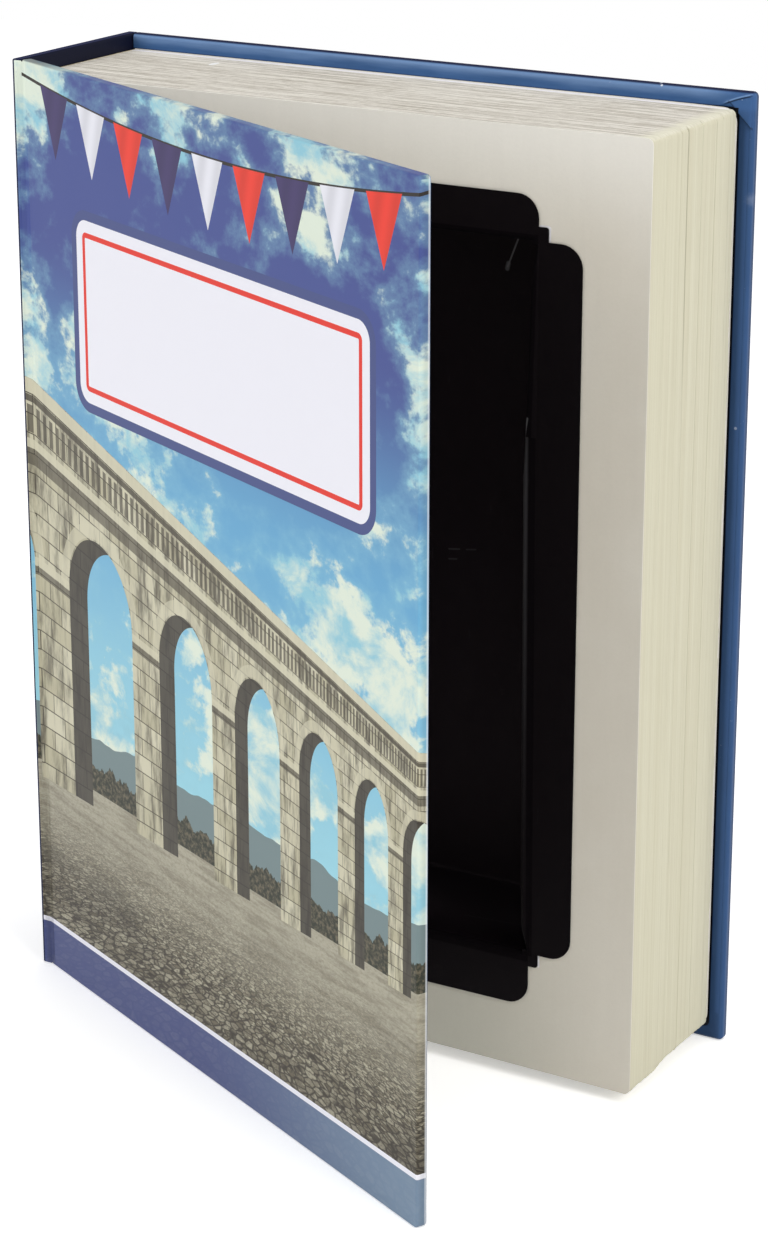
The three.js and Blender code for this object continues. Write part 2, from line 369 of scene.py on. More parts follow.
@dataclass(frozen=True)
class PrintedCover:
    """Laminated print: pennants across the sky, a pale label and a viaduct over a cobbled square.

    Places and lengths are millimetres on the sheet, across from the spine's edge, up from the foot.
    """

    name: str = Coat.PRINTED.value
    roughness: float = 0.4
    gloss: float = 0.16

    sky_high: Colour = srgb(74, 86, 148)
    sky_middle: Colour = srgb(108, 172, 212)
    sky_low: Colour = srgb(160, 216, 230)
    middle_sky: Pair = (64.0, 150.0)
    high_sky: Pair = (142.0, 200.0)
    cloud: Colour = srgb(228, 238, 222)
    cloud_edge: Colour = srgb(150, 204, 220)
    cloud_seed: float = 3.7

    label_middle: Pair = (90.0, 183.0)
    label_half: Pair = (67.0, 25.0)
    label_corner: float = 7.0
    label_border: float = 2.4
    label: Colour = srgb(243, 242, 250)
    strip_height: float = 13.0
    strip: Colour = srgb(76, 86, 136)
    strip_far: Colour = srgb(124, 146, 170)
    strip_fade: Pair = (70.0, 176.0)
    rule: Colour = srgb(232, 62, 50)
    rule_half: float = 0.65
    rule_gap: float = 6.0

    horizon: float = 60.0
    shrink: float = 0.0026
    deck: float = 160.0
    deck_depth: float = 17.0
    arch_pitch: float = 56.0
    arch_start: float = 8.0
    arch_half: float = 19.0
    arch_spring: float = 112.0
    reveal: float = 10.5
    ring_middle: float = 2.4
    ring_half: float = 1.9
    stone: Colour = srgb(184, 178, 150)
    stone_pale: Colour = srgb(212, 207, 182)
    stone_dark: Colour = srgb(78, 72, 62)
    course: float = 5.2
    block: float = 12.0
    rail_pitch: float = 3.4
    rail_gap: float = 0.45
    rail_drop: float = 10.5
    rail_half: float = 3.6

    trees: Colour = srgb(46, 50, 40)
    hills: Colour = srgb(120, 138, 140)
    vanishing: float = 120.0
    eye: float = 260.0
    near_ground: Pair = (44.0, 12.0)
    far_ground: Pair = (24.0, 56.0)
    cobble: Colour = srgb(112, 104, 86)
    cobble_pale: Colour = srgb(184, 178, 156)
    cobble_far: Colour = srgb(186, 181, 162)
    cobble_joint: Colour = srgb(58, 52, 44)
    shade: Colour = srgb(52, 47, 43)

    pennant_start: float = 7.0
    pennant_pitch: float = 18.0
    pennant_count: int = 9
    pennant_half: float = 6.8
    pennant_drop: float = 16.5
    string_height: float = 235.5
    string_sag: float = 5.5
    string_half: float = 0.4
    navy: Colour = srgb(72, 62, 106)
    white: Colour = srgb(236, 236, 244)
    red: Colour = srgb(240, 70, 56)

    head: float = 240.0
    spine_start: float = -2.2
    spine_middle: float = -28.0
    spine_panel_half: float = 20.5
    spine_rule_margin: float = 5.0
    spine_colour: Colour = srgb(24, 31, 68)
    edge_colour: Colour = srgb(14, 21, 58)
    edge_fade: Pair = (28.0, 4.0)
    fore_edge: float = 173.35
    # painted shade over the fore-edge face, and a painted highlight along its outer rim
    fore_edge_shade: float = 0.2
    fore_rim_highlight: Colour = srgb(232, 236, 240)

    def _sky(self, brush: SheetBrush) -> None:
        """Paints a sky that pales downwards, with heaped clouds.

        Args:
            brush: what it is painted with.
        """
        heap = brush.grain((0.019, 0.027), self.cloud_seed, 8.0, 0.6, 0.1)
        puffs = brush.grain((0.1, 0.13), self.cloud_seed, 6.0, 0.62, 0.25)
        shade = brush.grain((0.05, 0.07), 8.1, 6.0, 0.62, 0.3)
        level = heap + (puffs - 0.5) * 0.2
        lit = brush.graph.paint(self.cloud_edge, (shade.ramp(0.38, 0.58), self.cloud))
        brush.coat(
            (brush.v.ramp(*self.middle_sky), self.sky_middle),
            (brush.v.ramp(*self.high_sky), self.sky_high),
            (level.ramp(0.43, 0.53) * 0.35, self.cloud_edge),
            (level.ramp(0.5, 0.55), lit),
        )

    def _distance(self, brush: SheetBrush) -> None:
        """Paints low hills and a row of trees.

        Args:
            brush: what it is painted with.
        """
        ridge = brush.graph.noise((brush.u * 0.018, 2.0), 4.0, 0.5) * 26.0
        crowns = brush.graph.noise((brush.u * 0.16, 5.0), 5.0, 0.65) * 13.0
        leaves = brush.grain((0.8, 0.8), 9.0, 3.0, 0.6)
        green = brush.graph.paint(self.trees, (leaves.ramp(0.4, 0.7), self.cobble))
        brush.coat(
            (brush.v.below(ridge + (self.horizon + 1.0)), self.hills),
            (brush.v.below(crowns + (self.horizon - 1.5)), green),
        )

    def _ground(self, brush: SheetBrush) -> None:
        """Paints a cobbled square that runs back to the horizon.

        Args:
            brush: what it is painted with.
        """
        graph, v = brush.graph, brush.v
        depth = self.eye / (self.horizon + 4.0 - v).higher(1.5)
        setts = {
            "Vector": graph.vector((brush.u - self.vanishing) * depth * 0.17, depth * 20.0),
            "Scale": 0.3,
            "Randomness": 0.8,
        }
        joints = graph.node("ShaderNodeTexVoronoi", {"feature": "DISTANCE_TO_EDGE"}, setts)
        tones = graph.node("ShaderNodeTexVoronoi", {"feature": "F1"}, setts, "Color")
        grain = brush.grain((0.8, 1.4), 0.0, 5.0, 0.65)
        flecks = brush.grain((0.5, 1.3), 4.0, 6.0, 0.7)
        patches = brush.grain((0.02, 0.05), 1.0, 3.0, 0.5)
        worn = brush.grain((0.05, 0.42), 2.0, 6.0, 0.68)
        far = graph.paint(
            self.cobble_far,
            (grain.ramp(0.4, 0.7) * 0.3, self.cobble),
            (worn.ramp(0.42, 0.62) * 0.5, self.cobble),
        )
        near = graph.paint(
            self.cobble,
            (graph.node("ShaderNodeSeparateColor", {}, {0: tones}), self.cobble_pale),
            (grain.ramp(0.46, 0.7) * 0.8, self.cobble_joint),
            (flecks.ramp(0.56, 0.63) * 0.75, self.stone_pale),
            (joints.ramp(0.16, 0.0) * 0.95, self.cobble_joint),
            (v.ramp(*self.near_ground) * 0.22, self.shade),
            (patches.ramp(0.45, 0.75) * 0.5, self.shade),
            (v.ramp(*self.far_ground) * 0.85, far),
        )
        brush.coat((v.below(self.horizon - 2.0), near))

    def _opening(self, across: Wire, up: Wire) -> Wire:
        """1 inside an arch, at a place across from its middle and up.

        Args:
            across, up: the place.

        Returns:
            The mask of its straight sides and round head.
        """
        sides = abs(across).below(self.arch_half) * up.below(self.arch_spring)
        rise = (up - self.arch_spring).higher(0.0)
        return sides.higher((across * across + rise * rise).below(self.arch_half**2))

    def _masonry(self, graph: Graph, x: Wire, y: Wire) -> Wire:
        """Coursed blocks with rain stains.

        Args:
            graph: the sheet's node tree.
            x, y: place on the viaduct's face.

        Returns:
            Their colour.
        """
        inputs = {
            "Vector": graph.vector(x, y),
            "Color1": self.stone,
            "Color2": self.stone_pale,
            "Mortar": self.stone_dark,
            "Scale": 1.0,
            "Mortar Size": 0.22,
            "Mortar Smooth": 0.6,
            "Bias": 0.1,
            "Brick Width": self.block,
            "Row Height": self.course,
        }
        settings = {"offset": 0.5, "squash": 1.0}
        courses = graph.node("ShaderNodeTexBrick", settings, inputs, "Color")
        stains = graph.noise((x * 0.22, y * 0.05, 6.0), 6.0, 0.65)
        return graph.paint(courses, (stains.ramp(0.42, 0.68) * 0.8, self.stone_dark))

    def _viaduct(self, brush: SheetBrush) -> None:
        """Paints a stone viaduct that recedes to the right.

        Args:
            brush: what it is painted with.
        """
        scale = 1.0 / (1.0 - brush.u * self.shrink)
        x = brush.u * scale
        y = (brush.v - self.horizon) * scale + self.horizon
        across = (x - self.arch_start) % self.arch_pitch - self.arch_pitch / 2
        masonry = self._masonry(brush.graph, x, y)
        rise = (y - self.arch_spring).higher(0.0)
        radius = (across * across + rise * rise) ** 0.5
        ring = abs(radius - (self.arch_half + self.ring_middle)).below(self.ring_half)
        ring = ring * y.above(self.arch_spring)
        cornice = self.deck - self.deck_depth
        bands = (
            (self.deck - 2.0, 3.6, self.stone_pale, 0.9),
            (self.deck - 5.2, 1.8, self.stone_dark, 0.9),
            (cornice, 2.4, self.stone_pale, 0.85),
            (cornice - 3.4, 4.4, self.stone_dark, 0.75),
            (self.arch_spring, 2.2, self.stone_pale, 0.8),
            (self.arch_spring - 2.4, 2.2, self.stone_dark, 0.75),
        )
        rails = ((x / self.rail_pitch) % 1.0).above(self.rail_gap)
        rails = rails * abs(y - (self.deck - self.rail_drop)).below(self.rail_half)
        face = brush.graph.paint(
            masonry,
            (ring * 0.6, self.stone_pale),
            *((abs(y - at).below(high / 2) * share, tone) for at, high, tone, share in bands),
            (rails * 0.8, self.stone_dark),
        )
        inner = brush.graph.paint(masonry, (0.92, self.shade))
        beyond = brush.graph.paint(inner, (self._opening(across - self.reveal, y), brush.shown))
        face = brush.graph.paint(face, (self._opening(across, y), beyond))
        brush.coat((y.below(self.deck) * y.above(self.horizon - 7.0), face))

    def _pennants(self, brush: SheetBrush) -> None:
        """Paints triangular pennants in three colours on a sagging string.

        Args:
            brush: what it is painted with.
        """
        along = brush.u - self.pennant_start
        share = along / (self.pennant_pitch * self.pennant_count)
        string = self.string_height - share * (1.0 - share) * (4.0 * self.string_sag)
        inside = share.above(0.0) * share.below(1.0)
        across = along % self.pennant_pitch - self.pennant_pitch / 2
        drop = (string - brush.v) / self.pennant_drop
        flag = abs(across).below((1.0 - drop) * self.pennant_half) * drop.above(0.0) * inside
        turn = (along / self.pennant_pitch).floor() % 3.0
        cloth = brush.graph.paint(
            self.navy, (turn.above(0.5), self.white), (turn.above(1.5), self.red)
        )
        cloth = brush.graph.tint(cloth, (across * 0.9 + drop * 4.0).sine() * 0.08 + 0.94)
        line = abs(brush.v - string).below(self.string_half) * brush.u.above(0.0)
        brush.coat((line, self.shade), (flag, cloth))

    def _label(self, brush: SheetBrush) -> None:
        """Paints a pale label with a border and a red rule, and a blue strip along the foot.

        Args:
            brush: what it is painted with.
        """
        blue = brush.graph.paint(self.strip, (brush.u.ramp(*self.strip_fade), self.strip_far))
        across, up = (
            abs(place - middle) - (half - self.label_corner)
            for place, middle, half in zip((brush.u, brush.v), self.label_middle, self.label_half)
        )
        outside = (across.higher(0.0) ** 2.0 + up.higher(0.0) ** 2.0) ** 0.5
        away = outside + across.higher(up).lower(0.0) - self.label_corner
        brush.coat(
            (brush.v.below(self.strip_height) * 0.9, blue),
            (abs(brush.v - self.strip_height).below(self.rule_half), self.label),
            (away.below(0.0), self.strip),
            (away.below(-self.label_border), self.label),
            (abs(away + self.rule_gap).below(self.rule_half), self.rule),
        )

    def _spine(self, brush: SheetBrush) -> None:
        """Paints a plain spine with a pale panel between two rules.

        Args:
            brush: what it is painted with.
        """
        across = abs(brush.u - self.spine_middle)
        up = abs(brush.v - self.label_middle[1])
        panel = across.below(self.spine_panel_half) * up.below(self.label_half[1])
        line = abs(up - (self.label_half[1] - self.rule_gap)).below(self.rule_half)
        line = line * across.below(self.spine_panel_half - self.spine_rule_margin)
        face = brush.graph.paint(self.spine_colour, (panel, self.label), (line, self.rule))
        brush.coat((brush.u.below(self.spine_start), face))

    def _edges(self, brush: SheetBrush) -> Wire:
        """Paints the rounded edges: darker at the head, painted shade and highlight on the fore-edge.

        Args:
            brush: what it is painted with.

        Returns:
            1 on the head's edge.
        """
        u, v, head, side = brush.u, brush.v, self.head, self.fore_edge
        edge = v.ramp(head - 0.4, head + 0.5) * 0.25 + v.ramp(head + 2.0, head + 2.9) * 0.2
        edge = edge + v.ramp(head - 0.4, head + 0.2) * u.ramp(*self.edge_fade) * 0.5
        edge = edge.higher(v.above(head + 4.0)).lower(1.0)
        brush.coat((edge, self.edge_colour))
        # painted shade over the fore-edge face, then a painted highlight along its outer rim
        dark = u.ramp(side - 0.3, side + 1.9) * self.fore_edge_shade
        brush.shown = brush.graph.tint(brush.shown, 1.0 - dark)
        brush.coat((u.ramp(side + 1.95, side + 2.35) * 0.55, self.fore_rim_highlight))
        return edge

    def material(self) -> bpy.types.Material:
        """Builds the print and its lamination.

        Returns:
            The material.
        """
        brush = SheetBrush(self.name, self.sky_low)
        for layer in (self._sky, self._distance, self._ground, self._viaduct):
            layer(brush)
        for layer in (self._pennants, self._label, self._spine):
            layer(brush)
        edge = self._edges(brush)
        film = brush.grain((0.05, 0.05), 0.0, 2.0, 0.4)
        pores = brush.grain((2.2, 2.2), 0.0, 2.0, 0.5)
        return brush.graph.surface(
            Base_Color=brush.shown,
            Roughness=film * 0.08 + edge * 0.5 + (self.roughness - 0.04),
            Specular_IOR_Level=self.gloss,
            Normal=brush.graph.bump(film * 0.9 + pores * 0.1, 0.2 * MM, 0.4),
        )


@dataclass(frozen=True)
class Mark:
    """A small rubbed spot on a piece; its place and radius are millimetres."""

    place: Place
    radius: float
    share: float = 0.8
    core: float = 0.6


@dataclass(frozen=True)
class CornerFold:
    """Fold of the paper over a fore-edge corner: millimetres in from that edge, and from the head."""

    start: Pair = (1.2, 0.9)
    slope: float = 0.36
    bow: float = 0.35
    bow_run: float = 9.0
    facet_start: Pair = (0.6, 2.2)
    facet_run: Pair = (5.8, 6.0)
    facet_width: float = 4.2


FOLD = CornerFold()


@dataclass(frozen=True)
class Scratch:
    """A thin line painted on a flat piece, in millimetres."""

    start: Pair
    end: Pair
    width: float
    share: float

    def mask(self, across: Wire, up: Wire) -> Wire:
        """1 on the line.

        Args:
            across, up: place on the piece.

        Returns:
            The mask, times the scratch's share.
        """
        run = math.dist(self.start, self.end)
        right, rising = ((end - start) / run for start, end in zip(self.start, self.end))
        left, rise = across - self.start[0], up - self.start[1]
        along = (left * right + rise * rising).higher(0.0).lower(run)
        beside, over = left - along * right, rise - along * rising
        gap = (beside * beside + over * over) ** 0.5
        return gap.ramp(self.width, self.width * 0.4) * self.share


@dataclass(frozen=True)
class SatinPaper:
    """Plain laminated cover paper with a soft sheen and faint handling marks, and on the blue paper
    painted light and shade.
    """

    name: str
    colour: Colour
    worn: Colour
    edge: Colour
    # painted light: the head strip of the inner face is coloured lighter
    head_lit_colour: Colour
    roughness: float = 0.4
    gloss: float = 0.14
    head: float = 240.0
    head_depth: float = 4.0
    head_light: Optional[Colour] = None
    head_fade: Pair = (172.0, 160.0)
    rim_light: Colour = srgb(64, 98, 148)
    inner_depth: float = 23.6
    fore_edge: float = 174.8
    shadow: Colour = srgb(5, 6, 14)
    shadow_across: float = 0.0
    shadow_foot: float = 3.4
    shadow_corner: float = 1.5
    shadow_height: float = 0.0
    shadow_depth: Pair = (0.0, 0.0)
    marks: tuple[Mark, ...] = ()

    def _fold_light_and_shade(self, brush: Brush, inner: Wire) -> None:
        """Paints highlight and shade lines and a lit facet on the fold over the back cover's head
        corner.

        Args:
            brush: what it is painted with.
            inner: 1 on the cover's inner side.
        """
        inwards = self.fore_edge - brush.x
        down = self.head - brush.z
        bow = (inwards * (math.pi / FOLD.bow_run)).sine() * FOLD.bow
        off = down - ((inwards - FOLD.start[0]) * FOLD.slope + FOLD.start[1] - bow)
        near = inwards.ramp(8.2, 6.4) * inwards.ramp(0.4, 1.2) * inner
        width = FOLD.facet_width
        lower = (inwards - FOLD.facet_start[0]) * (width / FOLD.facet_run[0])
        lower = lower + (down - FOLD.facet_start[1]) * (width / FOLD.facet_run[1]) - width
        facet = off.ramp(0.3, 0.6) * lower.ramp(0.1, -0.1) * inwards.above(0.2) * inner
        foot = abs(lower).ramp(0.26, 0.1) * down.above(FOLD.facet_start[1]) * inwards.above(0.3) * inner
        # painted highlight and painted shade along the fold, painted light on the facet, painted shade
        # at its foot
        brush.coat(
            (abs(off + 0.18).ramp(0.26, 0.1) * near * 0.7, self.head_light),
            (abs(off - 0.2).ramp(0.26, 0.1) * near * 0.7, self.shadow),
            (facet * 0.5, self.rim_light),
            (foot * 0.5, self.shadow),
        )

    def _head_light(self, brush: Brush, inner: Wire) -> None:
        """Paints the light along the head and the fore-edge.

        Args:
            brush: what it is painted with.
            inner: 1 on the cover's inner side.
        """
        shoulder = self.head - self.head_depth
        streaks = brush.graph.noise((brush.x * 0.05, brush.y, brush.z * 0.5), 3.0, 0.5)
        light = (brush.z + (streaks - 0.5) * 3.0).ramp(shoulder + 1.0, self.head - 0.4)
        rim = brush.x.ramp(self.fore_edge - 3.2, self.fore_edge - 0.2)
        brush.coat(
            (light * brush.x.ramp(*self.head_fade) * inner * 0.75, self.head_light),
            (rim * inner * 0.5, self.rim_light),
        )
        self._fold_light_and_shade(brush, inner)

    def _block_shadow(self, brush: Brush) -> None:
        """Paints the dark line where the page block meets the cover.

        Args:
            brush: what it is painted with.
        """
        low, high = self.shadow_depth
        inside = brush.y.above(low) * brush.y.below(high)
        across = (brush.x - (self.shadow_across - self.shadow_corner)).higher(0.0)
        down = (self.shadow_foot + self.shadow_corner - brush.z).higher(0.0)
        corner = (across * across + down * down) ** 0.5
        beside = corner.ramp(self.shadow_corner + 0.3, self.shadow_corner + 0.1)
        under = brush.z.ramp(self.shadow_height + 0.55, self.shadow_height + 0.2)
        brush.coat((beside * under * inside, self.shadow))

    def material(self) -> bpy.types.Material:
        """Builds the paper.

        Returns:
            The material.
        """
        brush = Brush(self.name)
        graph, where = brush.graph, brush.where
        mottle = graph.noise(where, 4.0, 0.55, 0.05)
        scuffs = graph.noise(where, 5.0, 0.7, 0.9)
        grain = graph.noise(where, 2.0, 0.5, 2.4)
        inner = brush.y.ramp(self.inner_depth + 0.4, self.inner_depth)
        shoulder = brush.z.ramp(self.head - self.head_depth - 1.0, self.head - self.head_depth + 0.8)
        # painted light: the inner face's head strip is coloured lighter
        brush.shown = graph.paint(self.colour, (shoulder * inner, self.head_lit_colour))
        if self.head_light:
            self._head_light(brush, inner)
        brush.shown = graph.tint(brush.shown, mottle * 0.3 + 0.85)
        edge = brush.z.ramp(self.head - 0.45, self.head - 0.05)
        brush.coat((scuffs.ramp(0.67, 0.74) * 0.25, self.worn), (edge, self.edge))
        if self.shadow_across:
            self._block_shadow(brush)
        for mark in self.marks:
            away = graph.distance(where, mark.place) + (scuffs - 0.5) * mark.radius
            spot = away.ramp(mark.radius, mark.radius * mark.core)
            brush.coat((spot * mark.share, self.worn))
        return graph.surface(
            Base_Color=brush.shown,
            Roughness=mottle * 0.14 + edge * 0.5 + (self.roughness - 0.07),
            Specular_IOR_Level=self.gloss,
            Normal=graph.bump(mottle * 0.8 + grain * 0.2, 0.3 * MM, 0.4),
        )


@dataclass(frozen=True)
class SheetPaper:
    """Matt paper with a faint fibre, with painted light towards its head and painted shade towards its
    foot.
    """

    name: str
    colour: Colour
    cast: Colour
    head_light_tone: Colour
    foot_shade_tone: Colour
    roughness: float = 0.7
    gloss: float = 0.3
    rims: tuple[Scratch, ...] = ()
    rim: Colour = srgb(246, 244, 248)
    head_band: Pair = (208.0, 238.0)
    foot_band: Pair = (62.0, 4.0)
    fore_band: Pair = (172.0, 120.0)

    def material(self) -> bpy.types.Material:
        """Builds the paper.

        Returns:
            The material.
        """
        brush = Brush(self.name)
        graph, where, x, z = brush.graph, brush.where, brush.x, brush.z
        cloud = graph.noise(where, 4.0, 0.55, 0.035)
        fibre = graph.noise(where, 4.0, 0.6, 1.6)
        cockle = graph.noise((x * 0.35, brush.y, z * 0.03), 2.0, 0.5)
        # painted light towards the head, painted shade at the foot away from the fore-edge
        brush.shown = graph.paint(
            self.colour,
            (cloud.ramp(0.3, 0.7), self.cast),
            (z.ramp(*self.head_band) * 0.8, self.head_light_tone),
            (z.ramp(*self.foot_band) * x.ramp(*self.fore_band), self.foot_shade_tone),
        )
        brush.shown = graph.tint(brush.shown, fibre * 0.05 + cockle * 0.03 + 0.955)
        brush.coat(*((rim.mask(x, z), self.rim) for rim in self.rims))
        return graph.surface(
            Base_Color=brush.shown,
            Roughness=self.roughness,
            Specular_IOR_Level=self.gloss,
            Normal=graph.bump(fibre * 0.15 + cockle * 0.35 + cloud * 0.5, 0.4 * MM, 0.5),
        )


@dataclass(frozen=True)
class PageEdges:
    """Trimmed edges of many pages: fine lines on the fore-edge, rough streaks on the head."""

    name: str = Coat.PAGES.value
    side_pale: Colour = srgb(224, 221, 200)
    side_deep: Colour = srgb(208, 203, 178)
    # painted shade in the gaps between leaves
    side_gap_shade: Colour = srgb(172, 164, 138)
    head_pale: Colour = srgb(232, 228, 219)
    head_deep: Colour = srgb(160, 151, 137)
    leaf: Colour = srgb(246, 243, 244)
    leaf_depth: float = 20.35
    leaf_end: float = 168.9
    leaf_side_depth: float = 21.2
    fleck: Colour = srgb(240, 240, 240)
    fleck_place: Place = (31.9, 13.6, 236.0)
    fleck_length: float = 2.1
    fleck_squeeze: float = 2.6
    block_head: float = 236.0
    parting_depth: float = -3.5
    parting_rise: Pair = (158.0, 200.0)
    worn_end: Pair = (167.0, 172.0)
    roughness: float = 0.9
    gloss: float = 0.2

    def _side(self, brush: Brush) -> tuple[Wire, Wire]:
        """Draws the fore-edge.

        Args:
            brush: what it is painted with.

        Returns:
            Its colour and its height.
        """
        graph, x, y, z = brush.graph, brush.x, brush.y, brush.z
        depth = y + graph.noise((x * 0.06, y * 0.25, z * 0.012), 3.0, 0.5)
        leaves = graph.noise((x * 0.02, depth * 3.2, z * 0.007), 4.0, 0.7)
        bundles = graph.noise((x * 0.03, depth * 0.5, z * 0.008), 2.0, 0.5)
        tone = leaves.ramp(0.25, 0.75) * 0.75 + bundles.ramp(0.25, 0.75) * 0.25
        gaps = graph.noise((x * 0.035, depth * 2.2, z * 0.02 + 7.0), 2.0, 0.5)
        flakes = graph.noise((x * 0.3, y, z * 0.09), 5.0, 0.75)
        torn = (y + flakes * 0.9 - 0.45).above(self.leaf_side_depth)
        # painted shade in the parting between sections and in the gaps between leaves
        parting = abs(depth - (self.parting_depth + 0.5)).ramp(0.3, 0.12)
        parting = parting * z.ramp(*self.parting_rise)
        colour = graph.paint(
            self.side_deep,
            (tone, self.side_pale),
            (gaps.ramp(0.64, 0.72) * 0.16, self.side_gap_shade),
            (torn * flakes.ramp(0.42, 0.5), self.leaf),
            (parting * 0.6, self.side_gap_shade),
        )
        return colour, leaves * 0.7 + bundles * 0.3 - parting

    def _head(self, brush: Brush) -> tuple[Wire, Wire, Wire]:
        """Draws the head, worn towards the fore-edge, with the last leaf along it.

        Args:
            brush: what it is painted with.

        Returns:
            Its colour and its height, and 1 on the fleck.
        """
        graph, x, y = brush.graph, brush.x, brush.y
        depth = y + graph.noise((x * 0.03, y * 0.1, 3.0), 2.0, 0.5) * 2.4
        streaks = graph.noise((x * 0.022, depth * 1.3, 5.0), 7.0, 0.74)
        fuzz = graph.noise((x * 0.22, depth * 2.6, 2.0), 5.0, 0.75)
        height = streaks * 0.65 + fuzz * 0.35
        frayed = graph.noise((x * 0.35, y * 0.5, 8.0), 4.0, 0.65) * 5.0
        worn = (x + frayed).ramp(*self.worn_end)
        last = y.ramp(self.leaf_depth, self.leaf_depth + 0.15)
        colour = graph.paint(
            self.head_deep,
            (height.ramp(0.4, 0.57), self.head_pale),
            (worn * 0.75, self.side_pale),
            (last * x.ramp(self.leaf_end + 0.3, self.leaf_end), self.leaf),
        )
        squeeze = self.fleck_squeeze
        spot = (self.fleck_place[0] * squeeze, *self.fleck_place[1:])
        away = graph.distance(graph.vector(x * squeeze, y, brush.z), spot)
        fleck = (away + height * 2.0 - 1.0).below(self.fleck_length)
        return colour, height * (1.0 - worn * 0.7) + fleck * 0.8, fleck

    def material(self) -> bpy.types.Material:
        """Builds the page edges.

        Returns:
            The material.
        """
        brush = Brush(self.name)
        side, side_height = self._side(brush)
        head, head_height, fleck = self._head(brush)
        on_head = brush.z.ramp(self.block_head - 0.8, self.block_head - 0.3)
        height = side_height * (1.0 - on_head) + head_height * on_head
        return brush.graph.surface(
            Base_Color=brush.graph.paint(side, (on_head, head), (fleck, self.fleck)),
            Roughness=self.roughness,
            Specular_IOR_Level=self.gloss,
            Normal=brush.graph.bump(height, 0.4 * MM, 0.7),
        )


@dataclass(frozen=True)
class BlackSheet:
    """Thin black sheet of the liner, satin, with faint waves, a few scratches and painted light and
    shade.
    """

    name: str = Coat.BLACK.value
    colour: Colour = srgb(13, 9, 12)
    # painted light: the sheet is coloured lighter deep in the hollow, and more so lower down
    deep_lit_colour: Colour = srgb(24, 19, 23)
    low_lit_colour: Colour = srgb(34, 29, 33)
    # painted shade in the folds
    fold_shade: Colour = srgb(3, 1, 3)
    # pale colour of scuffs and of painted highlights
    scuff_and_highlight: Colour = srgb(104, 104, 108)
    roughness: float = 0.42
    gloss: float = 0.05
    mouth: float = -20.9
    crest_notch: float = 163.8
    crest_at_notch: float = 139.2
    crest_slope: float = 1.0 / 130.4
    crest_highlight_share: float = 0.22
    crest_fade: Pair = (40.0, 170.0)
    deep_band: Pair = (-19.5, -4.0)
    low_band: Pair = (150.0, 45.0)
    fold_head: float = 210.6
    fold_foot: float = 33.4
    fold_end: float = 142.6
    floor_depth: float = 13.9
    floor_scratches: tuple[Scratch, ...] = (
        Scratch((118.2, 201.9), (115.1, 194.1), 0.32, 0.7),
        Scratch((115.3, 194.9), (115.0, 193.6), 0.8, 0.6),
        Scratch((99.4, 120.4), (102.4, 120.8), 0.3, 0.2),
        Scratch((99.4, 117.8), (101.6, 118.1), 0.3, 0.2),
        Scratch((104.4, 121.0), (107.0, 121.4), 0.3, 0.16),
    )
    # painted highlights: at the fore wall's notch, and a pale line for a glued tab's edge on the foot
    # wall
    notch_highlight: Scratch = Scratch((139.6, 163.4), (140.4, 168.2), 0.4, 0.6)
    tab_edge_highlight: Scratch = Scratch((118.0, -9.6), (137.0, -7.4), 0.35, 0.1)
    foot_level: float = 40.0

    def _folds(self, brush: Brush) -> Wire:
        """Paints highlights on the fore wall's leaning crest and its notch, and shade in the folds.

        Args:
            brush: what it is painted with.

        Returns:
            1 where shade is painted in the folds.
        """
        x, z = brush.x, brush.z
        at_mouth = brush.y.below(self.mouth)
        under = self.crest_notch - z
        low = under.above(0.0)
        off = x - (under * self.crest_slope + self.crest_at_notch)
        # painted highlight along the crest of the leaning fore wall
        crest = off.ramp(-0.3, 0.1) * off.ramp(1.8, 1.1) * low * z.ramp(*self.crest_fade)
        upper = x - (self.crest_at_notch + 0.6 - under * 0.024)
        # painted shade: a band beside the fore wall's crest, and lines along the head and foot folds
        band = off.ramp(1.6, 1.9) * off.ramp(3.7, 3.3) * low
        band = band.higher(upper.ramp(-0.2, 0.2) * upper.ramp(1.9, 1.5) * (1.0 - low))
        inside = z.above(self.fold_foot) * z.below(self.fold_head)
        head = abs(z - self.fold_head).ramp(1.1, 0.7) * x.below(self.fold_end)
        foot = abs(z - self.fold_foot + 0.3).ramp(1.6, 1.1) * x.below(self.fold_end)
        dark = (band * inside).higher(head).higher(foot) * at_mouth
        brush.coat(
            (crest * at_mouth * self.crest_highlight_share, self.scuff_and_highlight),
            (dark * 0.85, self.fold_shade),
            (self.notch_highlight.mask(x, z) * at_mouth, self.scuff_and_highlight),
        )
        return dark

    def material(self) -> bpy.types.Material:
        """Builds the sheet.

        Returns:
            The material.
        """
        brush = Brush(self.name)
        graph, where, x, y, z = brush.graph, brush.where, brush.x, brush.y, brush.z
        wave = graph.noise(where, 2.0, 0.4, 0.03)
        grain = graph.noise(where, 2.0, 0.5, 3.5)
        rubs = graph.noise((x * 0.5, y * 0.5, z * 0.08), 5.0, 0.7).ramp(0.64, 0.76)
        # painted light deep in the hollow, more of it lower down
        lit = graph.paint(self.deep_lit_colour, (z.ramp(*self.low_band), self.low_lit_colour))
        brush.shown = graph.paint(
            self.colour, (y.ramp(*self.deep_band), lit), (rubs * 0.05, self.scuff_and_highlight)
        )
        on_floor = y.above(self.floor_depth)
        brush.coat(*((line.mask(x, z) * on_floor, self.scuff_and_highlight) for line in self.floor_scratches))
        dark = self._folds(brush)
        # painted highlight for a glued tab's edge on the foot wall
        brush.coat((self.tab_edge_highlight.mask(x, y) * z.below(self.foot_level), self.scuff_and_highlight))
        return graph.surface(
            Base_Color=brush.shown,
            Roughness=rubs * 0.1 + dark * 0.4 + self.roughness,
            Specular_IOR_Level=self.gloss,
            Normal=graph.bump(wave * 0.9 + grain * 0.1, 0.8 * MM, 0.5),
        )


